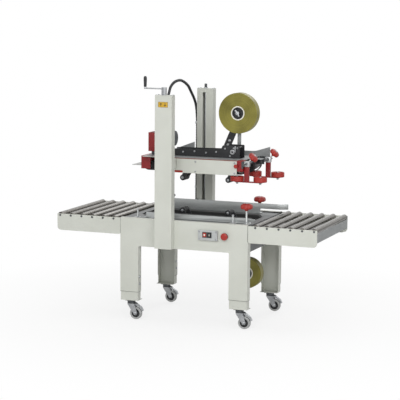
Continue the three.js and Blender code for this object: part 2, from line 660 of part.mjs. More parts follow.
// The gear motor of the top belts, standing on the head plate beside the drive guard.
const MOTOR_RADIUS = 50;
function headMotor() {
  const base = HEAD_TOP + GAP;
  const axis = base + 106;
  const gearbox = block([HEAD_LEFT + 5, HEAD_LEFT + 85], [-45, 45], [base, axis + 36]);
  const casing = rod([HEAD_LEFT + 84, 0, axis], [HEAD_LEFT + 150, 0, axis], MOTOR_RADIUS, 24);
  const fanCover = rod([HEAD_LEFT + 149, 0, axis], [HEAD_LEFT + 160, 0, axis], MOTOR_RADIUS - 7, 24);
  return join(gearbox, casing, fanCover);
}

// The two side plates of a tape unit, from the edge beside the carton. upward is +1 for the
// upper unit and -1 for the lower one, whose plates are the mirror image.
function tapePlates(edge, upward) {
  const back = edge + upward * TAPE_HEIGHT;
  const shape = outline([
    [TAPE_LEFT, back, 6],
    [TAPE_LEFT, edge, 18],
    [TAPE_RIGHT, edge, 18],
    [TAPE_RIGHT, back + upward * TAPE_SHOULDER, 8],
    [TAPE_SHOULDER_X, back + upward * TAPE_SHOULDER, 8],
    [TAPE_SHOULDER_X - 12, back],
  ]);
  return [-1, 1].map((side) => upright(shape, [side * TAPE_INNER, side * (TAPE_INNER + TAPE_PLATE)]));
}

// A round bar across a tape unit, from plate to plate.
function crossBar(x, z, radius) {
  const reach = TAPE_INNER + TAPE_PLATE + 2;
  return rod([x, -reach, z], [x, reach, z], radius);
}

// The bracket behind a tape roll, and the spindle that the roll turns on.
function rollBracket(foot, [rollX, rollZ], half) {
  const y = [ROLL_ARM_INNER, TAPE_INNER + 1];
  const arm = upright(strap(foot, [rollX, rollZ], half), y);
  const spindle = rod([rollX, -TAPE_ROLL_WIDTH / 2 - 4, rollZ], [rollX, y[1], rollZ], SPINDLE_RADIUS, 16);
  return join(arm, spindle);
}

const UPPER_ROLL_Z = UPPER_PIVOT_Z + UPPER_ROLL_RISE;
const LOWER_ROLL_Z = LOWER_PIVOT_Z - LOWER_ROLL_DROP;

// The upper tape unit's frame hangs on two ears that rest on the head plate.
function upperTapeFrame() {
  const shoulderZ = UPPER_PLATE_EDGE + TAPE_HEIGHT + TAPE_SHOULDER;
  const ears = [TAPE_LEFT + 20, TAPE_RIGHT - 35].map((x) => block([x - 10, x + 10],
    [-TAPE_INNER - 18, TAPE_INNER + 18], [HEAD_TOP + GAP, HEAD_TOP + 4]));
  const brace = upright(strap([UPPER_ROLL_X - 8, shoulderZ - 16], [UPPER_ROLL_X - 6, UPPER_ROLL_Z], 7),
    [ROLL_ARM_INNER, TAPE_INNER + 1]);
  return join(
    ...tapePlates(UPPER_PLATE_EDGE, 1),
    ...ears,
    brace,
    rollBracket([UPPER_ROLL_X - 95, UPPER_ROLL_Z - 220], [UPPER_ROLL_X, UPPER_ROLL_Z], 23),
    crossBar(APPLYING_PIVOT_X, UPPER_PIVOT_Z, PIVOT_RADIUS),
    crossBar(BUFFING_PIVOT_X, UPPER_PIVOT_Z, PIVOT_RADIUS),
    crossBar(TAPE_LEFT + 15, UPPER_PIVOT_Z + 75, 6),
    crossBar(APPLYING_PIVOT_X, UPPER_PIVOT_Z + 105, 6),
  );
}

// The bottom belts and the lower tape unit between them, hung under the deck on two lugs.
function lowerUnit() {
  const span = [-BOTTOM_BELT_HALF, BOTTOM_BELT_HALF];
  const beltBottom = TABLE_TOP - 2 * BOTTOM_BELT_RADIUS;
  const loops = [-1, 1].map((side) => beltLoop(side, span, beltBottom, BOTTOM_BELT_RADIUS));
  const shafts = span.map((x) => beltShaft(x, beltBottom + BOTTOM_BELT_RADIUS));
  const lugs = [-1, 1].map((side) => block([-30, 30], [side * (BELT_OUTER - 2), side * (BELT_OUTER + 28)],
    [DECK_BOTTOM - 17, DECK_BOTTOM - GAP]));
  const tieZ = beltBottom + 16;
  const ties = [BUFFING_PIVOT_X + 80, APPLYING_PIVOT_X + 7].map((x) => rod([x, -BELT_INNER - 4, tieZ],
    [x, BELT_INNER + 4, tieZ], 7));
  return join(
    ...loops,
    ...shafts,
    ...lugs,
    ...ties,
    ...tapePlates(LOWER_PLATE_EDGE, -1),
    rollBracket([APPLYING_PIVOT_X, LOWER_PIVOT_Z - 45], [LOWER_ROLL_X, LOWER_ROLL_Z], 18),
    crossBar(APPLYING_PIVOT_X, LOWER_PIVOT_Z, PIVOT_RADIUS),
    crossBar(BUFFING_PIVOT_X, LOWER_PIVOT_Z, PIVOT_RADIUS),
  );
}

// A tape arm about its own pivot: two straps, a pivot sleeve and the wiping roller. reach is
// negative where the roller hangs below the pivot.
function tapeArm(reach) {
  const sideY = (side) => [side * (ARM_SIDE - ARM_THICKNESS), side * ARM_SIDE];
  const shape = strap([0, 0], [-ARM_BACK, reach], ARM_HALF);
  const straps = [-1, 1].map((side) => upright(shape, sideY(side)));
  const sleeve = rod([0, -ARM_SIDE, 0], [0, ARM_SIDE, 0], PIVOT_SLEEVE);
  const rollerY = ARM_SIDE - ARM_THICKNESS + 0.5;
  const roller = rod([-ARM_BACK, -rollerY, reach], [-ARM_BACK, rollerY, reach], WIPE_RADIUS, ROUND);
  const bore = rod([0, -ARM_SIDE - 1, 0], [0, ARM_SIDE + 1, 0], PIVOT_RADIUS + RUNNING);
  return cut(join(...straps, sleeve, roller), bore);
}

// A roll of tape on its core and hub, about its own axis.
function tapeRoll(radius) {
  const half = TAPE_ROLL_WIDTH / 2;
  const bore = SPINDLE_RADIUS + RUNNING;
  return turned([[bore, -half], [radius, -half], [radius, half], [bore, half]], 40).rotate([90, 0, 0]);
}

// A press roller post: clamp on the cross rod, post, foot bar, two axles and the clamp's knob.
function pressPost(side, press) {
  const y = (inner, outer) => [side * (PRESS_Y + inner), side * (PRESS_Y + outer)];
  const centre = side * PRESS_Y;
  const clamp = block([press.rod - 15.5, press.rod + 18], y(-15, 15),
    [PRESS_ROD_Z - 18, PRESS_ROD_Z + 16]);
  const post = block([press.rod - 15, press.rod + 16], y(-8, 8), [PRESS_BOTTOM - 6, PRESS_ROD_Z - 17]);
  const foot = block([press.left - 12, press.right + 12], y(-12, 12),
    [PRESS_BOTTOM - 6.6, PRESS_BOTTOM - GAP]);
  const axles = [press.left, press.right].map((x) => rod([x, centre, PRESS_BOTTOM - 16],
    [x, centre, PRESS_BOTTOM + PRESS_WIDTH + 1], PRESS_AXLE_RADIUS));
  const lean = (distance) => [press.rod + 8 + distance, centre, PRESS_ROD_Z + 8 + distance];
  const stem = rod(lean(0), lean(26), 5);
  const knob = starKnob(lean(24), lean(40), PRESS_KNOB_RADIUS);
  const hole = rod([press.rod, side * (PRESS_Y - 16), PRESS_ROD_Z],
    [press.rod, side * (PRESS_Y + 16), PRESS_ROD_Z], PRESS_ROD_RADIUS + RUNNING);
  return cut(join(clamp, post, foot, ...axles, stem, knob), hole);
}

// A press roller about its own axle, which stands upright.
function pressRoller() {
  const bore = PRESS_AXLE_RADIUS + RUNNING;
  return turned([
    [bore, 0],
    [PRESS_RADIUS - 3, 0],
    [PRESS_RADIUS, 3],
    [PRESS_RADIUS, PRESS_WIDTH - 3],
    [PRESS_RADIUS - 3, PRESS_WIDTH],
    [bore, PRESS_WIDTH],
  ], 28);
}

// A side guide: upright plate on two feet, a strip whose infeed end curves outwards, and the
// star knob that locks it to the deck.
function sideGuide(side, strip, lock) {
  const inner = GUIDE_Y;
  const outer = inner + GUIDE_SHEET;
  const plate = block([GUIDE_LEFT, lock.x + 15], [side * inner, side * outer],
    [DECK_TOP + GAP, strip.bottom + 1]);
  const bend = strip.right - 75;
  const curve = new THREE.Shape();
  curve.moveTo(GUIDE_LEFT, side * inner);
  curve.lineTo(bend, side * inner);
  curve.quadraticCurveTo(bend + 45, side * inner, strip.right, side * (inner + 28));
  curve.lineTo(strip.right - 2, side * (inner + 28 + GUIDE_SHEET));
  curve.quadraticCurveTo(bend + 43, side * outer, bend, side * outer);
  curve.lineTo(GUIDE_LEFT, side * outer);
  const rail = level(curve, [strip.bottom, strip.top]);
  const studs = [lock.stud, GUIDE_LEFT - 50].map((x) => rod([x, side * (outer + 22), DECK_TOP + 3],
    [x, side * (outer + 22), TABLE_TOP + 36], 5));
  const feet = [GUIDE_LEFT - 50, GUIDE_LEFT + 58, lock.stud, lock.x].map((x) => block([x - 20, x + 20],
    [side * (outer - 1), side * (outer + 55)], [DECK_TOP + GAP, DECK_TOP + 4]));
  const bar = block([GUIDE_LEFT - 55, GUIDE_LEFT + 5], [side * (outer - 1), side * (outer + 8)],
    [DECK_TOP + GAP, DECK_TOP + 4]);
  const knobY = side * (outer + GUIDE_KNOB_RADIUS);
  const stem = rod([lock.x, knobY, DECK_TOP + 3], [lock.x, knobY, lock.bottom + 2], 6);
  const knob = starKnob([lock.x, knobY, lock.bottom], [lock.x, knobY, lock.bottom + 38],
    GUIDE_KNOB_RADIUS);
  const neck = rod([lock.x, knobY, lock.bottom - 9], [lock.x, knobY, lock.bottom + 1], 19, ROUND);
  return join(plate, rail, ...feet, bar, ...studs, stem, neck, knob);
}

// The switch box on the front panel, with a well for each push button.
const BOX_FACE = -HALF_WIDTH - GAP - BOX_DEPTH;
const BUTTON_Z = BOX_BOTTOM + BOX_HEIGHT / 2 + 3;
function switchBox() {
  const box = block([BOX_LEFT, BOX_RIGHT], [-HALF_WIDTH - GAP, BOX_FACE], [BOX_BOTTOM, BOX_BOTTOM + BOX_HEIGHT]);
  const halfWidth = BUTTON_WIDTH / 2 + RUNNING;
  const halfHeight = BUTTON_HEIGHT / 2 + RUNNING;
  const wells = [STOP_BUTTON_X, START_BUTTON_X].map((x) => block([x - halfWidth, x + halfWidth],
    [BOX_FACE - 1, BOX_FACE + BUTTON_WELL], [BUTTON_Z - halfHeight, BUTTON_Z + halfHeight]));
  return cut(box, ...wells);
}

// A push button about the centre of its front face.
function pushButton() {
  return block([-BUTTON_WIDTH / 2, BUTTON_WIDTH / 2], [0, BUTTON_LENGTH],
    [-BUTTON_HEIGHT / 2, BUTTON_HEIGHT / 2]);
}

function emergencyStop() {
  const cap = rod([0, 0, 0], [0, 14, 0], 23, ROUND);
  const stem = rod([0, 13, 0], [0, 62, 0], EMERGENCY_STEM);
  return join(cap, stem);
}

// The corrugated conduit: out of the front column's inner face and up behind it, clear of the
// turning crank, over in an arch, and down the side of the rear column to the junction box.
const CONDUIT_RADIUS = 9.5;
const CONDUIT_STEPS = 56;
function conduit() {
  const wallX = COLUMN_LEFT - CONDUIT_RADIUS - GAP;
  const exitX = COLUMN_LEFT + 20;
  const exitY = -HALF_WIDTH;
  const exitZ = COLUMN_TOP - 72;
  const route = new THREE.CatmullRomCurve3([
    new THREE.Vector3(exitX, exitY, exitZ),
    new THREE.Vector3(exitX, exitY + 24, exitZ),
    new THREE.Vector3(exitX - 1, exitY + 73, exitZ + 16),
    new THREE.Vector3(exitX, exitY + 121, exitZ + 62),
    new THREE.Vector3(exitX + 3, exitY + 148, exitZ + 110),
    new THREE.Vector3(exitX + 9, exitY + 185, exitZ + 136),
    new THREE.Vector3(exitX + 12, exitY + 242, exitZ + 147),
    new THREE.Vector3(exitX + 8, exitY + 324, exitZ + 143),
    new THREE.Vector3(wallX + 24, COLUMN_Y - 238, COLUMN_TOP + 35),
    new THREE.Vector3(wallX - 4, COLUMN_Y - 112, COLUMN_TOP - 10),
    new THREE.Vector3(wallX - 1, COLUMN_Y - 26, COLUMN_TOP - 100),
    new THREE.Vector3(wallX, COLUMN_Y, COLUMN_TOP - 200),
    new THREE.Vector3(wallX, COLUMN_Y, COLUMN_TOP - 520),
    new THREE.Vector3(wallX, COLUMN_Y, JUNCTION_TOP + GAP),
  ], false, 'centripetal');
  const section = new THREE.Shape();
  section.absarc(0, 0, CONDUIT_RADIUS, 0, 2 * Math.PI, false);
  return solid(new THREE.ExtrudeGeometry(section, {
    steps: CONDUIT_STEPS,
    curveSegments: 8,
    extrudePath: route,
  }));
}

// ---- Body ----
add('front_side_panel', frontPanel(), PAINT);
add('rear_side_panel', rearPanel(), PAINT);
add('deck_plate', deckPlate(), ROLLER_STEEL);
add('lower_belt_and_tape_unit', lowerUnit(), BLACK);

// ---- Legs and casters ----
for (const [sideName, side] of SIDES) {
  for (const [endName, end] of ENDS) {
    const corner = `${sideName}_${endName}`;
    add(`${corner}_leg_extension`, legExtension(side, end), PAINT);
    const swivel = [end * LEG_CENTRE, side * (HALF_WIDTH - CASTER_INSET), 0];
    add(`${corner}_caster_fork`, casterFork(), ZINC, swivel);
    const axle = [swivel[0] + CASTER_TRAIL, swivel[1], WHEEL_RADIUS];
    add(`${corner}_caster_wheel`, casterWheel(), TYRE, axle);
  }
}

// ---- Roller tables ----
for (const [endName, end] of ENDS) {
  const table = new THREE.Group();
  add(`${endName}_table_frame`, tableFrame(end), PAINT, [0, 0, 0], table);
  const first = BODY_HALF_LENGTH + FIRST_ROLLER_OFFSET;
  const pitch = (LENGTH / 2 - END_ROLLER_INSET - first) / (ROLLERS_PER_TABLE - 1);
  for (let i = 0; i < ROLLERS_PER_TABLE; i += 1) {
    const place = [end * (first + i * pitch), 0, TABLE_TOP - ROLLER_RADIUS];
    add(`${endName}_roller_${i + 1}`, conveyorRoller(), ROLLER_STEEL, place, table);
  }
  machine.add(table);
}

// ---- Columns ----
add('front_column', column(-1), PAINT);
add('rear_column', column(1), PAINT);
add('front_screw_and_crank', frontScrew(), ZINC);
add('crank_grip', crankGrip(), BLACK, [GRIP_X, -COLUMN_Y, GRIP_BOTTOM]);
add('rear_screw', rearScrew(), ZINC);
add('cable_conduit', conduit(), BLACK);

// ---- Head ----
const head = new THREE.Group();
add('head_chassis', headChassis(), PAINT, [0, 0, 0], head);
add('head_front_panel', headFrontPanel(), PAINT, [0, 0, 0], head);
add('top_belts', topBelts(), BLACK, [0, 0, 0], head);
add('drive_guard', driveGuard(), CRIMSON, [0, 0, 0], head);
add('head_motor', headMotor(), MOTOR_GREY, [0, 0, 0], head);
add('upper_tape_frame', upperTapeFrame(), BLACK, [0, 0, 0], head);
add('upper_applying_arm', tapeArm(-ARM_REACH), BLACK, [APPLYING_PIVOT_X, 0, UPPER_PIVOT_Z], head);
add('upper_buffing_arm', tapeArm(-ARM_REACH), BLACK, [BUFFING_PIVOT_X, 0, UPPER_PIVOT_Z], head);
add('upper_tape_roll', tapeRoll(UPPER_ROLL_RADIUS), TAPE, [UPPER_ROLL_X, 0, UPPER_ROLL_Z], head);
for (const [sideName, side] of SIDES) {
  const press = side < 0 ? FRONT_PRESS : REAR_PRESS;
  add(`${sideName}_press_post`, pressPost(side, press), CRIMSON, [0, 0, 0], head);
  for (const [endName, x] of [['outfeed', press.left], ['infeed', press.right]]) {
    const place = [x, side * PRESS_Y, PRESS_BOTTOM];
    add(`${sideName}_${endName}_press_roller`, pressRoller(), RED_PLASTIC, place, head);
  }
}
machine.add(head);

// ---- Lower tape unit's moving pieces ----
add('lower_applying_arm', tapeArm(ARM_REACH), BLACK, [APPLYING_PIVOT_X, 0, LOWER_PIVOT_Z]);
add('lower_buffing_arm', tapeArm(ARM_REACH), BLACK, [BUFFING_PIVOT_X, 0, LOWER_PIVOT_Z]);
add('lower_tape_roll', tapeRoll(LOWER_ROLL_RADIUS), TAPE, [LOWER_ROLL_X, 0, LOWER_ROLL_Z]);

// ---- Side guides ----
const REAR_STRIP = { bottom: TABLE_TOP + 19, top: TABLE_TOP + 54, right: 505 };
const FRONT_STRIP = { bottom: TABLE_TOP + 3, top: TABLE_TOP + 20, right: 455 };
const REAR_LOCK = { x: 302, bottom: TABLE_TOP + 56, stud: 210 };
const FRONT_LOCK = { x: 400, bottom: TABLE_TOP + 82, stud: 304 };
add('rear_side_guide', sideGuide(1, REAR_STRIP, REAR_LOCK), ROLLER_STEEL);
add('front_side_guide', sideGuide(-1, FRONT_STRIP, FRONT_LOCK), ROLLER_STEEL);

// ---- Controls ----
add('switch_box', switchBox(), ROLLER_STEEL);
add('stop_button', pushButton(), RED_PLASTIC, [STOP_BUTTON_X, BOX_FACE - BUTTON_PROUD, BUTTON_Z]);
add('start_button', pushButton(), BLACK, [START_BUTTON_X, BOX_FACE - BUTTON_PROUD, BUTTON_Z]);
add('emergency_stop', emergencyStop(), RED_PLASTIC, [EMERGENCY_X, -HALF_WIDTH - 28, EMERGENCY_Z]);

export default machine;
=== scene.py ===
import math

import bmesh
import bpy
from mathutils import Matrix, Vector


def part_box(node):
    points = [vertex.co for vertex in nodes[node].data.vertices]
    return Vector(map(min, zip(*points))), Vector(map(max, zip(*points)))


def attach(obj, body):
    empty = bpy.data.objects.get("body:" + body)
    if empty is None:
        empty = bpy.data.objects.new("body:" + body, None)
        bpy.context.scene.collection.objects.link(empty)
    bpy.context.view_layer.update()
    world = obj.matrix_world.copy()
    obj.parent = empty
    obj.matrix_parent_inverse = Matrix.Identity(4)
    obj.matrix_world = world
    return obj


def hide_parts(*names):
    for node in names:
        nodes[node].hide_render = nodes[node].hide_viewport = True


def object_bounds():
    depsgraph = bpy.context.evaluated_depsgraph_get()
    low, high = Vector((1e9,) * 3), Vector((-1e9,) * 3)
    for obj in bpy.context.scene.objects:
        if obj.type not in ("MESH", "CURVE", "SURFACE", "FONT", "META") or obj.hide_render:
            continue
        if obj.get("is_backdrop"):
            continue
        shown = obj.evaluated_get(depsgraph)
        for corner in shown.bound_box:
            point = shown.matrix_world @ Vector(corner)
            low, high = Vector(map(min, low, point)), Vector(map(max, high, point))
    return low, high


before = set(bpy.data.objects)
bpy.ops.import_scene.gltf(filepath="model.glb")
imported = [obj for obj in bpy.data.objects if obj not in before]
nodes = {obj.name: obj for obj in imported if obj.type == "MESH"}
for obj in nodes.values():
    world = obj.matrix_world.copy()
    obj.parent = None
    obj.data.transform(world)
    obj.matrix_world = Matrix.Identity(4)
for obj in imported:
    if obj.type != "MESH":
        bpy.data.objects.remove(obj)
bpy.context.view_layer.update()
sides = {"front": -1, "rear": 1}
ends = {"outfeed": -1, "infeed": 1}
corners = [(f"{side}_{end}", y, x) for side, y in sides.items() for end, x in ends.items()]

# ---- Camera ----
# A long lens from the front right, a little above the tables and held almost level.
camera_azimuth = math.radians(21.348)
camera_elevation = math.radians(7.973)
camera_roll = math.radians(0.438)
camera_target = Vector((-0.0176, 0.0, 0.7588))
camera_distance = 10.19
back = Vector((
    math.sin(camera_azimuth) * math.cos(camera_elevation),
    -math.cos(camera_azimuth) * math.cos(camera_elevation),
    math.sin(camera_elevation),
))
camera = bpy.data.objects.new("camera", bpy.data.cameras.new("camera"))
bpy.context.scene.collection.objects.link(camera)
camera.data.lens = 140.76
camera.data.clip_end = 100
camera.rotation_mode = "QUATERNION"
upright = (-back).to_track_quat("-Z", "Y")
camera.rotation_quaternion = upright @ Matrix.Rotation(camera_roll, 4, "Z").to_quaternion()
camera.location = camera_target + back * camera_distance
bpy.context.scene.camera = camera
bpy.context.scene.view_settings.view_transform = "Standard"


# ---- Floor and light ----
# White studio paper that fades into a white room. Large soft lamps stand in front and above,
# with a little more light at the infeed end.
def linear(code):
    """An sRGB hex colour as a linear one."""
    channels = [int(code[i : i + 2], 16) / 255 for i in (1, 3, 5)]
    return (*[c / 12.92 if c <= 0.04045 else ((c + 0.055) / 1.055) ** 2.4 for c in channels], 1)


def add_node(tree, kind, inputs=(), **settings):
    """Adds a node to a tree with its settings, values and links."""
    node = tree.nodes.new("ShaderNode" + kind)
    for key, value in settings.items():
        setattr(node, key, value)
    for key, value in dict(inputs).items():
        if isinstance(value, bpy.types.NodeSocket):
            tree.links.new(value, node.inputs[key])
        else:
            node.inputs[key].default_value = value
    return node


def empty_tree(owner):
    """The node tree of a material or a world, with nothing in it."""
    owner.use_nodes = True
    owner.node_tree.nodes.clear()
    return owner.node_tree


def clear_selection():
    """Leaves edit mode and selects nothing."""
    if bpy.context.object and bpy.context.object.mode != "OBJECT":
        bpy.ops.object.mode_set(mode="OBJECT")
    bpy.ops.object.select_all(action="DESELECT")


room = bpy.data.worlds.new("white_room")
bpy.context.scene.world = room
tree = empty_tree(room)
rays = add_node(tree, "LightPath")
seen = add_node(tree, "Math", {0: rays.outputs["Is Camera Ray"], 1: rays.outputs["Is Glossy Ray"]},
                operation="MAXIMUM")
strength = add_node(tree, "MapRange", {"Value": seen.outputs[0], "To Min": 0.42, "To Max": 1.0})
wall = add_node(tree, "Background", {"Color": linear("#FFFFFF"), "Strength": strength.outputs[0]})
add_node(tree, "OutputWorld", {"Surface": wall.outputs[0]})

clear_selection()
bpy.ops.mesh.primitive_plane_add(size=60, location=(0, 0, -0.002))
floor = bpy.context.object
floor.name = "studio_floor"
paper = bpy.data.materials.new("white_studio_paper")
tree = empty_tree(paper)
rays = add_node(tree, "LightPath")
place = add_node(tree, "TexCoord")
away = add_node(tree, "VectorMath", {0: place.outputs["Object"]}, operation="LENGTH")
fade = add_node(tree, "MapRange", {
    "Value": away.outputs["Value"], "From Min": 0.7, "From Max": 2.2, "To Min": 0.78, "To Max": 1.0})
share = add_node(tree, "Math", {0: rays.outputs["Is Camera Ray"], 1: fade.outputs[0]},
                 operation="MULTIPLY")
matt = add_node(tree, "BsdfDiffuse", {"Color": linear("#FAFAFA")})
glow = add_node(tree, "Emission", {"Color": linear("#FFFFFF"), "Strength": 1.0})
mixed = add_node(tree, "MixShader", {0: share.outputs[0], 1: matt.outputs[0], 2: glow.outputs[0]})
add_node(tree, "OutputMaterial", {"Surface": mixed.outputs[0]})
floor.data.materials.append(paper)
floor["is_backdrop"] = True

lit_point = Vector((0, 0, 0.75))
for lamp_name, lamp_place, size, power in (
    ("front_lamp", (1.6, -6.2, 4.0), 3.5, 200),
    ("front_right_lamp", (4.6, -3.8, 2.6), 3.0, 62),
    ("left_lamp", (-5.2, -1.5, 3.0), 3.0, 22),
    ("rear_lamp", (0.5, 5.0, 4.5), 3.0, 62),
    ("top_lamp", (0.0, 0.0, 5.5), 3.5, 30),
):
    lamp = bpy.data.objects.new(lamp_name, bpy.data.lights.new(lamp_name, "AREA"))
    bpy.context.scene.collection.objects.link(lamp)
    lamp.data.size = size
    lamp.data.energy = power
    lamp.location = lamp_place
    lamp.rotation_mode = "QUATERNION"
    lamp.rotation_quaternion = (lit_point - lamp.location).to_track_quat("-Z", "Y")


# ---- Sheet steel housings ----
# Folded and welded mild steel, powder coated in a warm light grey with a fine orange peel. Dark
# grey strips along the side panels' seams and leg bottoms are painted shade, the table ends are
# greyer, and the caster plates under the legs are bare.
def coat(tree, colours, roughness, grain, wide=150, relief=0.02, metallic=0.0, stretch=(1, 1, 1)):
    """The colour, roughness, metallic and height of one finish, with its grain in mm."""
    place = add_node(tree, "TexCoord")
    drawn = add_node(tree, "Mapping", {"Vector": place.outputs["Object"], "Scale": stretch})
    fine = add_node(tree, "TexNoise", {
        "Vector": drawn.outputs[0], "Scale": 1000 / grain, "Detail": 4.0})
    broad = add_node(tree, "TexNoise", {
        "Vector": drawn.outputs[0], "Scale": 1000 / wide, "Detail": 3.0})
    both = add_node(tree, "Math", {0: fine.outputs[0], 1: broad.outputs[0]}, operation="MULTIPLY")
    share = add_node(tree, "MapRange", {"Value": both.outputs[0], "From Min": 0.12, "From Max": 0.4})
    colour = add_node(tree, "Mix", {
        0: share.outputs[0], 6: linear(colours[0]), 7: linear(colours[1])}, data_type="RGBA")
    gloss = add_node(tree, "MapRange", {
        "Value": fine.outputs[0], "From Min": 0.3, "From Max": 0.7,
        "To Min": roughness[0], "To Max": roughness[1]})
    height = add_node(tree, "Math", {0: fine.outputs[0], 1: relief / 1000}, operation="MULTIPLY")
    return colour.outputs[2], gloss.outputs[0], metallic, height.outputs[0]


def inside(tree, boxes):
    """1 within any of the boxes, each given by two corners in mm, and 0 outside them."""
    place = add_node(tree, "TexCoord")
    shares = []
    for low, high in boxes:
        centre = [(a + b) / 2000 for a, b in zip(low, high)]
        half = [(b - a) / 2000 for a, b in zip(low, high)]
        offset = add_node(tree, "VectorMath", {0: place.outputs["Object"], 1: centre},
                          operation="SUBTRACT")
        size = add_node(tree, "VectorMath", {0: offset.outputs[0]}, operation="ABSOLUTE")
        beyond = add_node(tree, "VectorMath", {0: size.outputs[0], 1: half}, operation="SUBTRACT")
        axes = add_node(tree, "SeparateXYZ", {0: beyond.outputs[0]})
        wider = add_node(tree, "Math", {0: axes.outputs[0], 1: axes.outputs[1]}, operation="MAXIMUM")
        widest = add_node(tree, "Math", {0: wider.outputs[0], 1: axes.outputs[2]},
                          operation="MAXIMUM")
        shares.append(add_node(tree, "Math", {0: widest.outputs[0], 1: 0.0}, operation="LESS_THAN"))
    share = shares[0]
    for other in shares[1:]:
        share = add_node(tree, "Math", {0: share.outputs[0], 1: other.outputs[0]},
                         operation="MAXIMUM")
    return share.outputs[0]


def finish(name, base, *patches):
    """A material of one coat, with other coats in patches, each (coat, box, ...) in mm."""
    material = bpy.data.materials.new(name)
    tree = empty_tree(material)
    colour, gloss, metallic, height = coat(tree, **base)
    for other, *boxes in patches:
        share = inside(tree, boxes)
        patch = coat(tree, **other)
        colour = add_node(tree, "Mix", {0: share, 6: colour, 7: patch[0]}, data_type="RGBA").outputs[2]
        gloss = add_node(tree, "Mix", {0: share, 2: gloss, 3: patch[1]}).outputs[0]
        if base.get("metallic") != other.get("metallic"):
            metallic = add_node(tree, "Mix", {0: share, 2: metallic, 3: patch[2]}).outputs[0]
    bump = add_node(tree, "Bump", {"Height": height, "Strength": 0.5, "Distance": 1.0})
    skin = add_node(tree, "BsdfPrincipled", {
        "Base Color": colour, "Roughness": gloss, "Metallic": metallic, "Normal": bump.outputs[0]})
    add_node(tree, "OutputMaterial", {"Surface": skin.outputs[0]})
    return material


def dress(piece, material):
    """Gives a piece one material."""
    piece.data.materials.clear()
    piece.data.materials.append(material)


def soften(name, material, edge=0.6):
    """Gives a CAD node its finish and rounded edges in mm."""
    node = nodes[name]
    dress(node, material)
    weld = node.modifiers.new("weld", "WELD")
    weld.merge_threshold = 0.00002
    flat = node.modifiers.new("flat", "DECIMATE")
    flat.decimate_type = "DISSOLVE"
    flat.angle_limit = math.radians(0.5)
    round_edge = node.modifiers.new("edge", "BEVEL")
    round_edge.width = edge / 1000
    round_edge.segments = 2
    round_edge.limit_method = "ANGLE"
    round_edge.angle_limit = math.radians(40)


powder = dict(colours=("#CCCEC6", "#C2C4BB"), roughness=(0.4, 0.52), grain=1.6, wide=260)
dark_zinc = dict(colours=("#5D5F61", "#484A4C"), roughness=(0.4, 0.55), grain=1.5, wide=40,
                 metallic=0.8)
powder_coat = finish("powder_coated_steel", powder)
for name in ("rear_column", "head_front_panel"):
    soften(name, powder_coat)
# Painted shade: dark grey strips in the gaps at the side panels' ends and along the leg bottoms.
seam_shade_paint = dict(colours=("#73756F", "#676963"), roughness=(0.5, 0.6), grain=1.6, wide=60)
panel_end, panel_half_width, table_bottom, leg_bottom = 436, 336, 560, 183
panel_coat_with_painted_shade = finish("powder_coat_with_painted_seam_shade", powder, (
    seam_shade_paint,
    ((-panel_end, -panel_half_width, table_bottom), (-panel_end + 3, panel_half_width, 668)),
    ((panel_end - 4, -panel_half_width, table_bottom), (panel_end, panel_half_width, 668)),
    ((-panel_end, -panel_half_width, leg_bottom), (panel_end, panel_half_width, leg_bottom + 3.4))))
for name in ("front_side_panel", "rear_side_panel"):
    soften(name, panel_coat_with_painted_shade)
end_grey = dict(colours=("#949797", "#858889"), roughness=(0.42, 0.55), grain=1.6, wide=120,
                metallic=0.2)
table_end = 884
for end, x in ends.items():
    frame_coat = finish(end + "_table_coat", powder, (
        end_grey, ((x * table_end - 2, -333.4, 500), (x * table_end + 2, 333.4, 700))))
    soften(end + "_table_frame", frame_coat)
end_coat = finish("grey_end_plate", end_grey)
everywhere = 900
caster_plate = (110, 126.9)
leg_coat = finish("powder_coated_leg", powder, (
    dark_zinc, ((-everywhere, -everywhere, caster_plate[0]), (everywhere, everywhere, caster_plate[1]))))
for corner, y, x in corners:
    soften(corner + "_leg_extension", leg_coat)


# ---- Leg clamp bolts ----
# Zinc plated hexagon heads on washers, two on the inner cheek of each leg, which hold the
# extension at its height.
def spun(name, profile, steps=32):
    """A turned piece about Z at the origin, drawn as (radius, height) points in mm and spun."""
    clear_selection()
    bpy.ops.mesh.primitive_plane_add(size=0.001)
    piece = bpy.context.object
    piece.name = name
    bpy.ops.object.mode_set(mode="EDIT")
    bpy.ops.mesh.select_mode(type="VERT")
    bpy.ops.mesh.select_all(action="SELECT")
    bpy.ops.mesh.merge(type="CENTER")
    points = [Vector((radius / 1000, 0, height / 1000)) for radius, height in profile]
    bpy.ops.transform.translate(value=points[0])
    for before, after in zip(points, points[1:]):
        bpy.ops.mesh.extrude_vertices_move(TRANSFORM_OT_translate={"value": after - before})
    bpy.ops.mesh.select_all(action="SELECT")
    bpy.ops.mesh.spin(steps=steps, angle=2 * math.pi, center=(0, 0, 0), axis=(0, 0, 1))
    bpy.ops.mesh.select_all(action="SELECT")
    bpy.ops.mesh.remove_doubles(threshold=0.00001)
    bpy.ops.mesh.dissolve_degenerate(threshold=0.00001)
    bpy.ops.mesh.select_all(action="SELECT")
    bpy.ops.mesh.normals_make_consistent(inside=False)
    bpy.ops.object.mode_set(mode="OBJECT")
    return piece


def ring(name, profile, steps=32):
    """A turned ring, whose outline is closed."""
    return spun(name, [*profile, profile[0]], steps)


def select_only(piece):
    """Selects one piece, makes it active and nothing else."""
    clear_selection()
    piece.select_set(True)
    bpy.context.view_layer.objects.active = piece


def put(piece, place, axis=(0, 0, 1)):
    """Turns a piece from Z to an axis and moves it to a place in mm, within its mesh."""
    select_only(piece)
    piece.rotation_mode = "QUATERNION"
    piece.rotation_quaternion = Vector((0, 0, 1)).rotation_difference(Vector(axis))
    piece.location = Vector(place) / 1000
    bpy.ops.object.transform_apply(location=True, rotation=True, scale=True)
    return piece


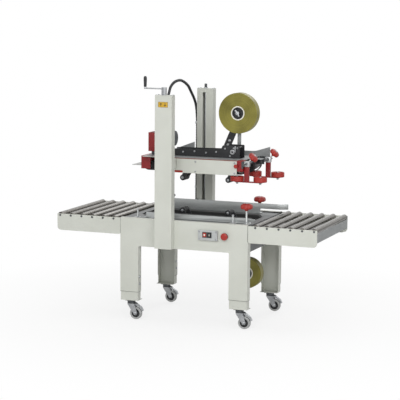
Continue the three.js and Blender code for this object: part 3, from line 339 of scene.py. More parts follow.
def copies(piece, name, spots):
    """One object made of a copy of the piece at each (place, axis), and the piece is used up."""
    made = []
    for place, axis in spots:
        twin = piece.copy()
        twin.data = piece.data.copy()
        bpy.context.scene.collection.objects.link(twin)
        made.append(put(twin, place, axis))
    bpy.data.objects.remove(piece)
    clear_selection()
    for twin in made:
        twin.select_set(True)
    bpy.context.view_layer.objects.active = made[0]
    if len(made) > 1:
        bpy.ops.object.join()
    made[0].name = name
    return made[0]


def complete(piece, material, body, edge=None, smooth=35):
    """Rounds a piece's edges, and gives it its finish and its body."""
    select_only(piece)
    if edge:
        rounding = piece.modifiers.new("edge", "BEVEL")
        rounding.width = edge / 1000
        rounding.segments = 2
        rounding.limit_method = "ANGLE"
        bpy.ops.object.modifier_apply(modifier=rounding.name)
    bpy.ops.object.shade_smooth_by_angle(angle=math.radians(smooth))
    dress(piece, material)
    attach(piece, body)
    return piece


zinc = dict(colours=("#B9BBBD", "#9C9EA1"), roughness=(0.26, 0.4), grain=2.0, wide=40, relief=0.01,
            metallic=0.95)
bright_zinc = finish("bright_zinc_plate", zinc)
bolt_profile = [(0, 0), (9, 0), (9, 1.6), (7.2, 1.6), (7.2, 5.6), (6.2, 6.6), (0, 6.6)]
leg_bolts = copies(spun("leg_bolt", bolt_profile, 12), "leg_clamp_bolts", [
    ((x * 310, y * 311, height), (-x, 0, 0)) for _, y, x in corners for height in (235, 282)])
complete(leg_bolts, bright_zinc, "machine_body", 0.4)

# ---- Deck, side guides and their lock knobs ----
# The deck is brushed sheet steel. The guides are galvanised strip on studs, and each is locked
# by a red moulded star knob with a steel cap. Two black knobs clamp the rear guide's feet.
steel = dict(colours=("#727474", "#5C5E5F"), roughness=(0.34, 0.5), grain=0.8, wide=160, relief=0.01,
             metallic=0.75, stretch=(0.06, 1, 1))
galvanised = dict(colours=("#BEC1C0", "#A9ACAC"), roughness=(0.36, 0.5), grain=1.2, wide=60,
                  relief=0.01, metallic=0.6, stretch=(0.2, 1, 1))
red = dict(colours=("#A62A1F", "#932118"), roughness=(0.38, 0.5), grain=2.5, wide=60, relief=0.03)
soften("deck_plate", finish("brushed_deck_steel", steel), 0.5)
red_plastic = finish("moulded_red_plastic", red)


def trimmed(node, name, beyond):
    """A merged copy of a CAD node without the faces whose corners, in mm, all lie beyond a limit."""
    piece = bpy.data.objects.new(name, nodes[node].data.copy())
    bpy.context.scene.collection.objects.link(piece)
    select_only(piece)
    bpy.ops.object.mode_set(mode="EDIT")
    bpy.ops.mesh.select_mode(type="VERT")
    bpy.ops.mesh.select_all(action="SELECT")
    bpy.ops.mesh.remove_doubles(threshold=0.00002)
    bpy.ops.mesh.dissolve_limited(angle_limit=math.radians(0.5))
    bpy.ops.mesh.select_all(action="DESELECT")
    solid = bmesh.from_edit_mesh(piece.data)
    for corner in solid.verts:
        corner.select = beyond(corner.co * 1000)
    solid.select_flush(True)
    bmesh.update_edit_mesh(piece.data)
    bpy.ops.mesh.delete(type="FACE")
    bpy.ops.mesh.select_all(action="SELECT")
    bpy.ops.mesh.fill_holes(sides=64)
    bpy.ops.object.mode_set(mode="OBJECT")
    return piece


def star_knob(name, radius, place, axis, body):
    """A moulded knob with seven lobes, a domed head over a narrow neck, and a steel cap."""
    share = radius / 38
    outline = [(0, -9), (11, -9), (11.5, 1), (24, 2.5), (37, 4), (40.5, 10), (40, 22), (37, 31),
               (22, 37.6), (0, 38.6)]
    knob = spun(name, [(across * share, height * share) for across, height in outline], 28)
    bpy.ops.object.mode_set(mode="EDIT")
    bpy.ops.mesh.select_all(action="DESELECT")
    head = bmesh.from_edit_mesh(knob.data)
    for corner in head.verts:
        lobe = math.atan2(corner.co.y, corner.co.x) * 7 / (2 * math.pi)
        corner.select = abs(lobe - round(lobe)) < 0.1 and corner.co.xy.length > 0.02 * share
    bmesh.update_edit_mesh(knob.data)
    bpy.ops.transform.resize(value=(0.87, 0.87, 1))
    bpy.ops.object.mode_set(mode="OBJECT")
    rounding = knob.modifiers.new("rounding", "SUBSURF")
    rounding.levels = rounding.render_levels = 2
    bpy.ops.object.modifier_apply(modifier=rounding.name)
    complete(put(knob, place, axis), red_plastic, body, smooth=60)
    cap = copies(spun("cap", [(0, -1), (8, -1), (8, 1), (6, 3), (2.5, 4), (0, 4)], 24), name + "_cap", [
        (Vector(place) + 37.4 * share * Vector(axis).normalized(), axis)])
    complete(cap, bright_zinc, body)


guide_finish = finish("galvanised_guide", galvanised)
knob_height = 38
for side, y, knob_x, stud_x in (("front", -1, 400, 304), ("rear", 1, 302, 210)):
    node = side + "_side_guide"
    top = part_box(node)[1].z * 1000
    rail = trimmed(node, side + "_guide_rail", lambda at: at.z > top - knob_height - 0.5 or (
        at.z > top - knob_height - 9.5 and abs(at.y) > 246 and abs(at.x - knob_x) < 20))
    complete(rail, guide_finish, node, 0.8)
    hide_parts(node)
    star_knob(side + "_guide_knob", 38, (knob_x, y * 266, top - knob_height), (0, 0, 1), node)
    foot_z, strip_z = 664.2, 709.5
    nuts = copies(spun("nut", bolt_profile, 6), side + "_guide_stud_nuts", [
        ((stud_x, y * 250, strip_z), (0, 0, 1)), ((-350, y * 250, strip_z), (0, 0, 1)),
        ((stud_x, y * 250, foot_z), (0, 0, 1)), ((-350, y * 250, foot_z), (0, 0, 1)),
        ((-242, y * 262, foot_z), (0, 0, 1)), ((knob_x, y * 266, 672), (0, 0, 1))])
    complete(nuts, bright_zinc, node, 0.4)

black = dict(colours=("#222326", "#17181A"), roughness=(0.4, 0.55), grain=1.5, wide=80, relief=0.03)
moulded_knob = finish("black_moulded_knob", black)
deck_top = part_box("deck_plate")[1].z * 1000
for number, (x, height) in enumerate(((-138, 50), (-308, 72)), 1):
    clamp = spun("clamp", [(0, 0.3), (11, 0.3), (11, 4), (4, 4), (4, height), (9, height),
                           (9, height + 5), (13, height + 7), (14, height + 12), (12, height + 17),
                           (5, height + 19), (0, height + 19)], 20)
    clamp = copies(clamp, f"rear_guide_clamp_{number}", [((x, 252, deck_top), (0, 0, 1))])
    complete(clamp, moulded_knob, "rear_side_guide", 0.6)

# ---- Conveyor rollers ----
# Drawn steel tube, zinc plated and dulled by cartons, with fine rings round each tube. Their
# axles are held in the rails by hexagon bolts. A grey flange closes each table's end.
tube = dict(colours=("#706D68", "#5A5752"), roughness=(0.14, 0.24), grain=1.2, wide=60, relief=0.01,
            metallic=0.9, stretch=(0.3, 3, 0.3))
drawn_tube = finish("zinc_plated_tube", tube)
dull_zinc = finish("dull_zinc_bolts", dark_zinc)
rail_face = 335
axle_bolt = [(0, 0), (7, 0), (7, 1.2), (5.6, 1.2), (5.6, 4.4), (4.8, 5.2), (0, 5.2)]
for end in ends:
    spots = []
    for number in range(1, 7):
        name = f"{end}_roller_{number}"
        soften(name, drawn_tube, 0.8)
        low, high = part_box(name)
        centre = (low + high) * 500
        spots += [((centre.x, y * rail_face, centre.z), (0, y, 0)) for y in sides.values()]
    bolts = copies(spun("axle_bolt", axle_bolt, 12), end + "_axle_bolts", spots)
    complete(bolts, dull_zinc, "machine_body", 0.4)


def slab(name, low, high, edge=0.5):
    """A block between two corners in mm, with every edge bevelled in edit mode."""
    clear_selection()
    size = Vector(high) - Vector(low)
    bpy.ops.mesh.primitive_cube_add(size=1)
    piece = bpy.context.object
    piece.name = name
    bpy.ops.object.mode_set(mode="EDIT")
    bpy.ops.mesh.select_all(action="SELECT")
    bpy.ops.transform.resize(value=size / 1000)
    bpy.ops.transform.translate(value=(Vector(low) + Vector(high)) / 2000)
    bpy.ops.mesh.bevel(offset=edge / 1000, segments=2, affect="EDGES")
    bpy.ops.object.mode_set(mode="OBJECT")
    return piece


for end, x in ends.items():
    faces = sorted((x * (table_end - 1.1), x * (table_end + 0.6)))
    flange = slab(end + "_end_flange", (faces[0], -332, 600), (faces[1], 332, 643), 0.4)
    complete(flange, end_coat, "machine_body")

# ---- Casters ----
# A pressed zinc plated fork on a dark ball race, a grey rubber tyre on a black moulded centre
# and a steel hub with an axle nut at each side.
rubber = dict(colours=("#ACADAC", "#989998"), roughness=(0.62, 0.8), grain=1.0, wide=30, relief=0.05)
race_bottom = 101.5
fork_zinc = finish("pressed_zinc_fork", zinc, (
    dark_zinc, ((-everywhere, -everywhere, race_bottom), (everywhere, everywhere, 200))))
grey_tyre = finish("grey_rubber_tyre", rubber)
moulded_black = finish("moulded_black_plastic", black)
tyre_outline = [(28, -11), (36.5, -12), (39, -10.5), (40, -7), (40, 7), (39, 10.5), (36.5, 12),
                (28, 11)]
centre_outline = [(11, -7), (28.3, -7), (28.3, 7), (11, 7)]
hub_outline = [(5.4, -13.7), (9, -13.7), (12.5, -8), (12.5, 8), (9, 13.7), (5.4, 13.7)]
for corner, y, x in corners:
    soften(corner + "_caster_fork", fork_zinc, 0.5)
    low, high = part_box(corner + "_caster_wheel")
    axle = (low + high) * 500
    spot = [(axle, (0, 1, 0))]
    body = corner + "_caster_wheel"
    tyre = copies(ring("tyre", tyre_outline, 48), corner + "_tyre", spot)
    complete(tyre, grey_tyre, body)
    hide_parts(body)
    complete(copies(ring("centre", centre_outline, 48), corner + "_wheel_centre", spot),
             moulded_black, body, 0.8)
    complete(copies(ring("hub", hub_outline, 24), corner + "_wheel_hub", spot),
             bright_zinc, body)
    nuts = copies(spun("nut", [(0, 0), (11, 0), (11, 1.5), (8.5, 1.5), (8.5, 5.5), (0, 6.5)], 6),
                  corner + "_axle_nuts",
                  [((axle.x, axle.y + out * 17, axle.z), (0, out, 0)) for out in (-1, 1)])
    complete(nuts, bright_zinc, corner + "_caster_fork", 0.4)


# ---- Column fittings ----
# The front column carries a yellow plate, printed with a frame and plain up and down arrows.
# Cap screws hold the covers on both column tops.
yellow = dict(colours=("#CDA531", "#BE962A"), roughness=(0.35, 0.45), grain=2.0, wide=30)
ink = dict(colours=("#2A2622", "#221F1C"), roughness=(0.35, 0.45), grain=2.0, wide=30)
left, right, bottom, top, line = -153, -87, 1387, 1421, 1.4
skin = (-388, -386)
marks = [((left, skin[0], bottom), (left + line, skin[1], top)),
         ((right - line, skin[0], bottom), (right, skin[1], top)),
         ((left, skin[0], bottom), (right, skin[1], bottom + line)),
         ((left, skin[0], top - line), (right, skin[1], top))]
for x, turn in ((-134, 1), (-106, -1)):
    for across, start, stop in ((2, -10, 2), (8, 2, 4), (6, 4, 6), (4, 6, 8), (2, 8, 10)):
        heights = sorted(((top + bottom) / 2 + turn * start, (top + bottom) / 2 + turn * stop))
        marks.append(((x - across, skin[0], heights[0]), (x + across, skin[1], heights[1])))
soften("front_column", finish("powder_coat_with_plate", powder, (
    yellow, ((left, skin[0], bottom), (right, skin[1], top))), (ink, *marks)))
screw_profile = [(0, 0), (6, 0), (6, 2.4), (5, 3.4), (2.6, 3.4), (2.6, 1.4), (0, 1.4)]
column_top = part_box("front_column")[1].z * 1000
cap_screws = copies(spun("cap_screw", screw_profile, 20), "column_cap_screws", [
    ((x, y * depth, column_top), (0, 0, 1)) for y in sides.values()
    for x in (-167, -68) for depth in (343, 379)])
complete(cap_screws, bright_zinc, "machine_body")

# ---- Lifting screws, crank and grip ----
# Steel screws with a turned hub, a bright crank arm and a black moulded grip that spins. The
# rear screw's threaded end stands above its column.
for name in ("front_screw_and_crank", "rear_screw"):
    soften(name, bright_zinc, 0.5)
grip_radius = 10.5
grip_profile = [(4.4, 0.3), (8, 0.3), (9, 2), (9.6, 22), (10.4, 42), (grip_radius, 52), (9.6, 61),
                (7, 65.6), (3, 67), (0, 67)]
grip_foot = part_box("crank_grip")[0] * 1000 + Vector((grip_radius, grip_radius, 0))
grip = put(spun("grip", grip_profile), grip_foot)
grip.name = "turned_crank_grip"
complete(grip, moulded_black, "crank_grip")
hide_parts("crank_grip")
screw_y = 361.3
threads = [(8.5 if step % 2 else 9.6, step * 2.5) for step in range(10)]
stub = copies(spun("stub", [(0, 0), *threads, (8, 25), (0, 26)], 24), "rear_screw_thread", [
    ((-123, screw_y, column_top + 6.2), (0, 0, 1))])
complete(stub, finish("oiled_steel_thread", dark_zinc), "rear_screw", smooth=20)


# ---- Conduit ----
# Black corrugated plastic conduit, one rib every 5 mm. It leaves a gland behind the front column
# and runs down the side of the rear one, where zinc clips hold it.
def along(points, count):
    """Points along a centripetal Catmull-Rom curve through the given ones."""
    whole = [2 * points[0] - points[1], *points, 2 * points[-1] - points[-2]]
    made = []
    for a, b, c, d in zip(whole, whole[1:], whole[2:], whole[3:]):
        knots = [0.0]
        for start, stop in ((a, b), (b, c), (c, d)):
            knots.append(knots[-1] + max((stop - start).length, 1e-4) ** 0.5)
        for step in range(count):
            t = knots[1] + (knots[2] - knots[1]) * step / count
            first = a.lerp(b, t / knots[1])
            middle = b.lerp(c, (t - knots[1]) / (knots[2] - knots[1]))
            last = c.lerp(d, (t - knots[2]) / (knots[3] - knots[2]))
            early = first.lerp(middle, t / knots[2])
            late = middle.lerp(last, (t - knots[1]) / (knots[3] - knots[1]))
            made.append(early.lerp(late, (t - knots[1]) / (knots[2] - knots[1])))
    return [*made, points[-1]]


column_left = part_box("rear_column")[0].x * 1000
wall_x = column_left - 9.8
exit_x = column_left + 20
exit_y = -rail_face
exit_z = column_top - 72
route = [Vector(point) / 1000 for point in (
    (exit_x, exit_y, exit_z),
    (exit_x, exit_y + 24, exit_z),
    (exit_x - 1, exit_y + 73, exit_z + 16),
    (exit_x, exit_y + 121, exit_z + 62),
    (exit_x + 3, exit_y + 148, exit_z + 110),
    (exit_x + 9, exit_y + 185, exit_z + 136),
    (exit_x + 12, exit_y + 242, exit_z + 147),
    (exit_x + 8, exit_y + 324, exit_z + 143),
    (wall_x + 24, screw_y - 238, column_top + 35),
    (wall_x - 4, screw_y - 112, column_top - 10),
    (wall_x - 1, screw_y - 26, column_top - 100),
    (wall_x, screw_y, column_top - 200),
    (wall_x, screw_y, column_top - 520),
    (wall_x, screw_y, 640.3),
)]
dense = along(route, 40)
half_rib = 0.0025
spaced = [dense[0]]
carried = 0.0
for before, after in zip(dense, dense[1:]):
    carried += (after - before).length
    if carried >= half_rib:
        spaced.append(after)
        carried = 0.0
hose_curve = bpy.data.curves.new("corrugated_conduit", "CURVE")
hose_curve.dimensions = "3D"
hose_curve.bevel_depth = 0.0095
hose_curve.bevel_resolution = 2
hose_curve.use_fill_caps = True
spline = hose_curve.splines.new("POLY")
spline.points.add(len(spaced) - 1)
for number, (point, spot) in enumerate(zip(spline.points, spaced)):
    point.co = (*spot, 1)
    point.radius = 1.0 if number % 2 else 0.84
hose = bpy.data.objects.new("corrugated_conduit", hose_curve)
bpy.context.scene.collection.objects.link(hose)
select_only(hose)
bpy.ops.object.convert(target="MESH")
hose = bpy.context.object
complete(hose, moulded_black, "machine_body", smooth=60)
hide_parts("cable_conduit")
gland = copies(spun("gland", [(0, 0), (16, 0), (16, 9), (13, 11), (13, 16), (10.5, 18), (0, 18)], 8),
               "conduit_gland", [((exit_x, exit_y - 0.3, exit_z), (0, 1, 0))])
complete(gland, moulded_black, "machine_body", 0.6)
clips = copies(ring("clip", [(9.6, -8), (11.2, -8), (11.2, 8), (9.6, 8)]), "conduit_clips", [
    ((wall_x, screw_y, height), (0, 0, 1)) for height in (1230, 1010, 795)])
complete(clips, bright_zinc, "machine_body", 0.3)

# ---- Head housing ----
# The top plate and the rear panel are a darker steel grey, which on the top plate also paints in
# the shade that dims it. The lifting arms are powder coated and the bracket of the infeed nose is
# crimson. A brown rubber lip edges the front, and a black enamelled ski guides cartons in under the nose.
crimson = dict(colours=("#8F1C1E", "#7D1618"), roughness=(0.32, 0.45), grain=1.6, wide=120)
panel_steel = dict(colours=("#9C9F9F", "#8B8E8F"), roughness=(0.4, 0.52), grain=1.6, wide=160,
                   metallic=0.35)
plate_bottom = 1046
# The darker grey over the top plate is partly painted shade; the rear panel gets the same grey.
soften("head_chassis", finish(
    "head_chassis_finish", powder,
    (panel_steel, ((-345, -177.4, plate_bottom), (450, 177.4, 1140)),
     ((-260, 177, 950), (420, 182, 1120))),
    (crimson, ((296, -178.6, 970), (341, -100, 1050))),
    (dark_zinc, ((330, -300, 1000), (420, 300, plate_bottom - 0.2))),
))
lip_rubber = dict(colours=("#7A3B2C", "#6B3125"), roughness=(0.55, 0.7), grain=1.0, wide=40)
lip = slab("rubber_edge_lip", (-249, -182.2, plate_bottom + 0.2),
           (299, -176.5, plate_bottom + 4.8), 1.2)
complete(lip, finish("brown_rubber_lip", lip_rubber), "head")
tag = slab("red_plate", (-124, -181.7, 957), (-68, -180.7, 970), 0.3)
complete(tag, red_plastic, "head")
panel_screws = copies(spun("panel_screw", screw_profile, 20), "head_panel_screws", [
    ((x, -180.8, z), (0, -1, 0))
    for x, z in ((-235, 1030), (20, 1030), (285, 1034), (20, 968), (285, 968))])
complete(panel_screws, bright_zinc, "head")
nose_knob = spun("nose_adjusting_knob", [
    (0, 0), (5, 0), (5, 6), (12, 7), (13, 10), (13, 16), (11, 19), (0, 20)], 20)
complete(put(nose_knob, (297, -178, 1015), (0, -1, 0)), red_plastic, "head")
clear_selection()
bpy.ops.mesh.primitive_plane_add(size=0.028)
ski = bpy.context.object
ski.name = "entry_ski"
bpy.ops.object.mode_set(mode="EDIT")
bpy.ops.mesh.select_mode(type="EDGE")
strip = bmesh.from_edit_mesh(ski.data)
for edge in strip.edges:
    edge.select = all(v.co.x > 0 for v in edge.verts)
strip.select_flush_mode()
bmesh.update_edit_mesh(ski.data)
ski_route = [Vector(p) / 1000 for p in (
    (14, 0, 0), (18, 0, -10), (19, 0, -24), (15, 0, -40), (6, 0, -55), (-8, 0, -67), (-26, 0, -75),
    (-46, 0, -79))]
for before, after in zip(ski_route, ski_route[1:]):
    bpy.ops.mesh.extrude_region_move(TRANSFORM_OT_translate={"value": after - before})
bpy.ops.mesh.select_all(action="SELECT")
bpy.ops.mesh.normals_make_consistent(inside=False)
bpy.ops.object.mode_set(mode="OBJECT")
ski.data.transform(Matrix.Translation((0.385, 0, 1.0430)))
thick = ski.modifiers.new("thick", "SOLIDIFY")
thick.thickness = 0.003
bpy.ops.object.modifier_apply(modifier=thick.name)
enamel = dict(colours=("#27282B", "#1A1B1D"), roughness=(0.32, 0.46), grain=1.5, wide=120)
black_enamel = finish("black_enamel", enamel)
complete(ski, black_enamel, "head", 0.5)

# ---- Drive belts ----
# Black ribbed rubber belts over steel pulleys, with the lower tape unit's enamelled frame
# between the bottom pair. Zinc plated discs close the pulley ends.
belt = dict(colours=("#232323", "#171717"), roughness=(0.68, 0.85), grain=1.0, wide=60, relief=0.08,
            stretch=(3, 0.4, 1))
between = 61.8
soften("top_belts", finish("ribbed_belt_rubber", belt, (
    dark_zinc, ((-400, -between, 900), (400, between, 1100)))))
soften("lower_belt_and_tape_unit", finish(
    "belt_rubber_and_frame", belt, (enamel, ((-460, -between, 200), (460, between, 700)))))
disc = [(0, 0), (21, 0), (21, 1.4), (9, 1.4), (9, 3.4), (0, 3.4)]
for body, level, height, places in (("head", "top", 980, (-340, 300)),
                                    ("machine_body", "bottom", 644, (-350, 350))):
    discs = copies(spun("disc", disc), level + "_pulley_discs", [
        ((x, y * 101.6, height), (0, y, 0)) for x in places for y in sides.values()])
    complete(discs, bright_zinc, body)

# ---- Tape units ----
# Black enamelled side plates and swing arms with rubber wiping rollers. Zinc screws, a knurled
# film roller and an aluminium brace show on the front plate.
arm_rubber = dict(colours=("#3A3B3C", "#2B2C2D"), roughness=(0.6, 0.75), grain=1.0, wide=30)
soften("upper_tape_frame", finish(
    "tape_unit_enamel", enamel, (panel_steel, ((228, 38, 1131), (256, 45.2, 1325)))))
flat_bolt = [(0, 0), (9, 0), (9, 0.8), (7.2, 0.8), (7.2, 2.2), (6.6, 2.7), (0, 2.7)]
for name in ("upper_applying_arm", "upper_buffing_arm", "lower_applying_arm", "lower_buffing_arm"):
    low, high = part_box(name)
    upper = name.startswith("upper")
    bottom = low.z * 1000 if upper else high.z * 1000 - 39
    centre_x = low.x * 1000 + 19
    soften(name, finish(name + "_finish", enamel, (
        arm_rubber, ((centre_x - 20, -36.8, bottom - 1), (centre_x + 20, 36.8, bottom + 40)))))
    bolts = copies(spun("roller_bolt", flat_bolt, 12), name + "_bolts", [
        ((centre_x, y * 40.8, bottom + 19.5), (0, y, 0)) for y in sides.values()])
    complete(bolts, bright_zinc, name, 0.4)
unit_screws = copies(spun("unit_screw", screw_profile, 20), "upper_unit_screws", [
    ((x, -46.8, z), (0, -1, 0)) for x, z in (
        (-180, 1020), (-185, 1085), (-120, 1075), (-60, 1010), (-40, 1082), (40, 1076), (110, 1084),
        (170, 1108), (205, 1062), (230, 1112), (255, 1115), (255, 1010), (180, 1012))])
complete(unit_screws, bright_zinc, "head")
brace = slab("roll_brace_plate", (224, 36.6, 1128), (245, 38.2, 1222), 0.4)
complete(brace, finish("galvanised_brace", panel_steel), "head")
knurled = copies(ring("knurled", [(6, 0), (15, 0), (16, 2), (16, 6), (15, 8), (6, 8)], 24),
                 "knurled_film_roller", [((222, -47, 1088), (0, -1, 0))])
complete(knurled, bright_zinc, "head", 0.6)
brake = slab("film_brake_lever", (236, -52, 1086), (244, -47.2, 1126), 1.5)
complete(brake, bright_zinc, "head")
arm_bolts = copies(spun("arm_bolt", bolt_profile, 12), "roll_arm_bolts", [
    ((x, 37.8, z), (0, -1, 0)) for x, z in ((158, 1124), (170, 1152), (232, 1296))])
complete(arm_bolts, bright_zinc, "head", 0.4)

# ---- Tape rolls ----
# Clear polypropylene film over a yellowish adhesive, wound on a white card core, with broad patches
# of painted sheen across its face. Each turns on a black moulded hub, held by a silver wing lever.
card = dict(colours=("#E4E2D8", "#D6D3C6"), roughness=(0.6, 0.75), grain=1.5, wide=20)
white_card = finish("white_card_core", card)
for unit, body, across in (("upper", "head", 130), ("lower", "machine_body", 100)):
    node = unit + "_tape_roll"
    low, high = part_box(node)
    centre = (low + high) * 500
    film = bpy.data.materials.new(unit + "_wound_tape_film")
    tree = empty_tree(film)
    place = add_node(tree, "TexCoord")
    centred = add_node(tree, "Mapping", {
        "Vector": place.outputs["Object"], "Location": (-centre.x / 1000, 0, -centre.z / 1000)})
    flat = add_node(tree, "VectorMath", {0: centred.outputs[0], 1: (1, 0, 1)}, operation="MULTIPLY")
    radius = add_node(tree, "VectorMath", {0: flat.outputs[0]}, operation="LENGTH")
    wound = add_node(tree, "TexNoise", {"W": radius.outputs["Value"], "Scale": 420.0, "Detail": 3.0},
                     noise_dimensions="1D")
    # Painted sheen: broad lighter and darker patches across the roll's face stand in for the film's
    # reflections; the fine rings follow the wound layers.
    painted_sheen_patches = add_node(tree, "TexNoise", {"Vector": flat.outputs[0], "Scale": 9.0, "Detail": 1.0})
    both = add_node(tree, "Math", {0: wound.outputs[0], 1: painted_sheen_patches.outputs[0]}, operation="ADD")
    wound_tone_and_painted_sheen = add_node(tree, "MapRange", {"Value": both.outputs[0], "From Min": 0.75, "From Max": 1.25})
    colour = add_node(tree, "Mix", {
        0: wound_tone_and_painted_sheen.outputs[0], 6: linear("#5C5612"), 7: linear("#8A8335")}, data_type="RGBA")
    bump = add_node(tree, "Bump", {"Height": wound.outputs[0], "Strength": 0.6, "Distance": 0.0004})
    skin = add_node(tree, "BsdfPrincipled", {
        "Base Color": colour.outputs[2], "Roughness": 0.42, "Normal": bump.outputs[0]})
    add_node(tree, "OutputMaterial", {"Surface": skin.outputs[0]})
    spot = [(centre, (0, -1, 0))]
    roll = copies(ring("roll", [(45.6, -29), (across - 1, -29), (across, -28), (across, 28),
                                (across - 1, 29), (45.6, 29)], 96), unit + "_wound_tape", spot)
    complete(roll, film, node)
    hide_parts(node)
    core = copies(ring("core", [(38.2, -30), (45.6, -30), (45.6, 30), (38.2, 30)], 64),
                  unit + "_card_core", spot)
    complete(core, white_card, node, 0.5)
    hub = copies(ring("hub", [(10.4, -30), (37, -30), (38.2, -28), (38.2, 30), (36, 32), (33, 31),
                              (31, 24), (18, 24), (16, 31), (10.4, 31)], 48), unit + "_roll_hub", spot)
    complete(hub, moulded_black, node)
    front_y = centre.y - 34
    nut = copies(spun("nut", [(0, -1), (13, -1), (14, 1), (14, 8), (11, 10), (0, 10)], 6),
                 unit + "_spindle_nut", [((centre.x, front_y + 0.5, centre.z), (0, -1, 0))])
    complete(nut, bright_zinc, body, 0.6)
    lever = slab(unit + "_wing_lever", (-5, -3, -25), (5, 3, 25), 2)
    lever.data.transform(Matrix.Rotation(math.radians(-35), 4, "Y"))
    put(lever, (centre.x, front_y - 7, centre.z))
    complete(lever, bright_zinc, body)

# ---- Drive guard and gear motor ----
# A crimson powder coated guard with zinc screws and a grey hold-down plate, and a grey enamelled
# motor with cooling fins, a domed fan cover, a worm gear case and a terminal box.
plate_grey = dict(colours=("#B5B7B4", "#A5A7A4"), roughness=(0.35, 0.5), grain=1.6, wide=60)
soften("drive_guard", finish("crimson_powder_coat", crimson, (
    plate_grey, ((-470, -100, 960), (-381.3, 100, 990)))))
guard_screws = copies(spun("guard_screw", screw_profile, 20), "drive_guard_screws", [
    ((-358.8, y, z), (-1, 0, 0)) for y in (-48, 48) for z in (1082, 1182)])
complete(guard_screws, bright_zinc, "head")
wing = slab("guard_side_flange", (-349, -61.4, 1070.2), (-300, -59.8, 1192.6), 0.4)
complete(wing, finish("crimson_flange_coat", crimson), "head")
motor_grey = dict(colours=("#5B5E61", "#4C4F52"), roughness=(0.45, 0.6), grain=1.5, wide=100, relief=0.05)
motor_enamel = finish("grey_motor_enamel", motor_grey)
low, high = [corner * 1000 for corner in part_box("head_motor")]
axis_z = high.z - 50
clear_selection()
bpy.ops.mesh.primitive_cylinder_add(vertices=64, radius=0.0455, depth=0.066, location=(0, 0, 0.033))
casing = bpy.context.object
casing.name = "finned_motor_casing"
bpy.ops.object.mode_set(mode="EDIT")
bpy.ops.mesh.select_mode(type="FACE")
shell = bmesh.from_edit_mesh(casing.data)
barrel = sorted((f for f in shell.faces if abs(f.normal.z) < 0.5),
                key=lambda f: math.atan2(f.normal.y, f.normal.x))
for face in shell.faces:
    face.select = False
for face in barrel[::2]:
    face.select = True
bmesh.update_edit_mesh(casing.data)
bpy.ops.mesh.extrude_faces_move(TRANSFORM_OT_shrink_fatten={"value": 0.0045})
bpy.ops.object.mode_set(mode="OBJECT")
bpy.ops.object.transform_apply(location=True, rotation=True, scale=True)
put(casing, (low.x + 79, 0, axis_z), (1, 0, 0))
complete(casing, motor_enamel, "head", smooth=20)
gear_case = slab("worm_gear_case", (low.x, -45, low.z), (low.x + 80, 45, axis_z + 36), 6)
complete(gear_case, motor_enamel, "head")
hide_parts("head_motor")
cover = spun("motor_fan_cover", [
    (0, 0), (50, 0), (50, 2), (48, 8), (42, 10.6), (14, 11), (12, 10), (0, 10)], 48)
put(cover, (high.x - 11.2, 0, axis_z), (1, 0, 0))
complete(cover, motor_enamel, "head")
box = slab("motor_terminal_box", (high.x - 62, -22, axis_z + 40), (high.x - 18, 22, axis_z + 50), 2)
complete(box, motor_enamel, "head")

# ---- Press rollers ----
# Red moulded rollers on crimson posts. Each post has an aluminium clamp with a star knob, and
# zinc nuts hold the roller axles.
cast_alloy = dict(colours=("#C9CBCC", "#B3B5B6"), roughness=(0.35, 0.5), grain=1.5, wide=30, metallic=0.7)
roller_outline = [(6.4, 1), (13, 1), (13, 4), (33, 4), (36, 0.3), (41, 0.3), (43, 2.6), (43, 29.4),
                  (41, 31.7), (36, 31.7), (33, 27), (13, 27), (13, 30.7), (6.4, 30.7)]
roller_bottom = 918
low_nut = [(0, -1), (10, -1), (10, 0.6), (8, 0.6), (8, 1.6), (7, 2), (0, 2)]
tall_nut = [(0, -1), (9, -1), (9, 0.5), (8, 0.5), (8, 7), (6, 9.9), (0, 9.9)]
for side, y, rod, axles in (("front", -1, 357, (293, 448)), ("rear", 1, 397, (308, 463))):
    post = side + "_press_post"
    across = y * 150
    knob_foot = (rod + 32, across, 1062)
    reach = knob_foot[0] + knob_foot[2] - 0.5
    clamp = trimmed(post, side + "_press_clamp", lambda at: at.x + at.z > reach)
    complete(clamp, finish(post + "_finish", crimson, (
        cast_alloy, ((rod - 20, -300, 1012.2), (rod + 18.2, 300, 1100)),
        ((rod + 18, -300, 1030), (rod + 60, 300, 1100)))), post, 0.8)
    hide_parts(post)
    star_knob(side + "_press_knob", 32, knob_foot, (1, 0, 1), post)
    washers = copies(spun("washer", low_nut, 12), side + "_press_axle_washers", [
        ((x, across, roller_bottom + 31.6), (0, 0, 1)) for x in axles])
    complete(washers, bright_zinc, post, 0.2)
    nuts = copies(spun("nut", tall_nut, 12), side + "_press_axle_nuts", [
        ((x, across, roller_bottom - 6.6), (0, 0, -1)) for x in axles])
    complete(nuts, bright_zinc, post, 0.4)
    for end, x in zip(ends, axles):
        node = f"{side}_{end}_press_roller"
        roller = copies(ring("roller", roller_outline, 56), f"{side}_{end}_moulded_roller", [
            ((x, across, roller_bottom), (0, 0, 1))])
        complete(roller, red_plastic, node)
        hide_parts(node)

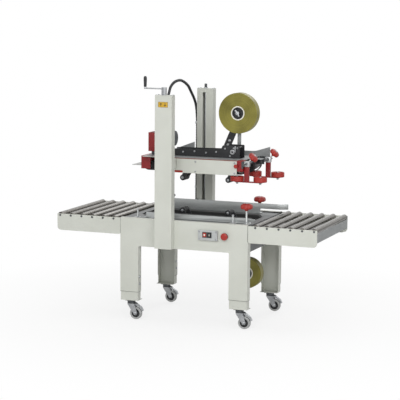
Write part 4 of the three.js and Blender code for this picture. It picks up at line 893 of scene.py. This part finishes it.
# ---- Switches ----
# A grey steel switch box with a black framed red and black push button, and a red mushroom
# stop on a black collar.
soften("switch_box", finish("brushed_switch_box", galvanised), 1.0)
low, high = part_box("switch_box")
face_y = low.y * 1000
corner_screws = copies(spun("screw", screw_profile, 20), "switch_box_screws", [
    ((x, face_y + 0.2, z), (0, -1, 0)) for x in (low.x * 1000 + 8, high.x * 1000 - 8)
    for z in (low.z * 1000 + 8, high.z * 1000 - 8)])
complete(corner_screws, bright_zinc, "machine_body")
for kind, material, mark in (("stop", red_plastic, 5), ("start", moulded_black, 2)):
    node = kind + "_button"
    low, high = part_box(node)
    soften(node, material, 1.6)
    centre = (low + high) * 500
    clear_selection()
    bpy.ops.mesh.primitive_plane_add(size=0.001)
    bezel = bpy.context.object
    bezel.name = kind + "_button_bezel"
    bpy.ops.object.mode_set(mode="EDIT")
    bpy.ops.mesh.select_all(action="SELECT")
    bpy.ops.transform.resize(value=(30, 36, 1))
    bpy.ops.mesh.inset(thickness=0.0035, depth=0)
    bpy.ops.mesh.delete(type="FACE")
    bpy.ops.object.mode_set(mode="OBJECT")
    put(bezel, (centre.x, face_y - 0.2, centre.z), (0, -1, 0))
    thick = bezel.modifiers.new("thick", "SOLIDIFY")
    thick.thickness = 0.0022
    thick.offset = 1
    bpy.ops.object.modifier_apply(modifier=thick.name)
    complete(bezel, moulded_black, "machine_body", 0.5)
    dash = slab(kind + "_button_mark", (centre.x - mark, low.y * 1000 - 0.4, centre.z - 6),
                (centre.x + mark, low.y * 1000 + 0.4, centre.z + 6), 0.2)
    complete(dash, white_card, node)
low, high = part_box("emergency_stop")
centre = (low + high) * 500
mushroom = spun("mushroom_stop", [
    (0, -47), (8, -47), (8, 0.5), (21, 0.5), (22.8, 2), (23, 6), (21.6, 10), (17, 12.8), (9, 13.8),
    (0, 14)], 48)
put(mushroom, (centre.x, low.y * 1000 + 14, centre.z), (0, -1, 0))
complete(mushroom, red_plastic, "emergency_stop")
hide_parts("emergency_stop")
collar = ring("mushroom_collar", [(8.6, 0), (20, 0), (20, 3), (17, 6), (8.6, 6)])
put(collar, (centre.x, -rail_face - 0.1, centre.z), (0, -1, 0))
complete(collar, moulded_black, "machine_body", 0.5)

low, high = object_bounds()
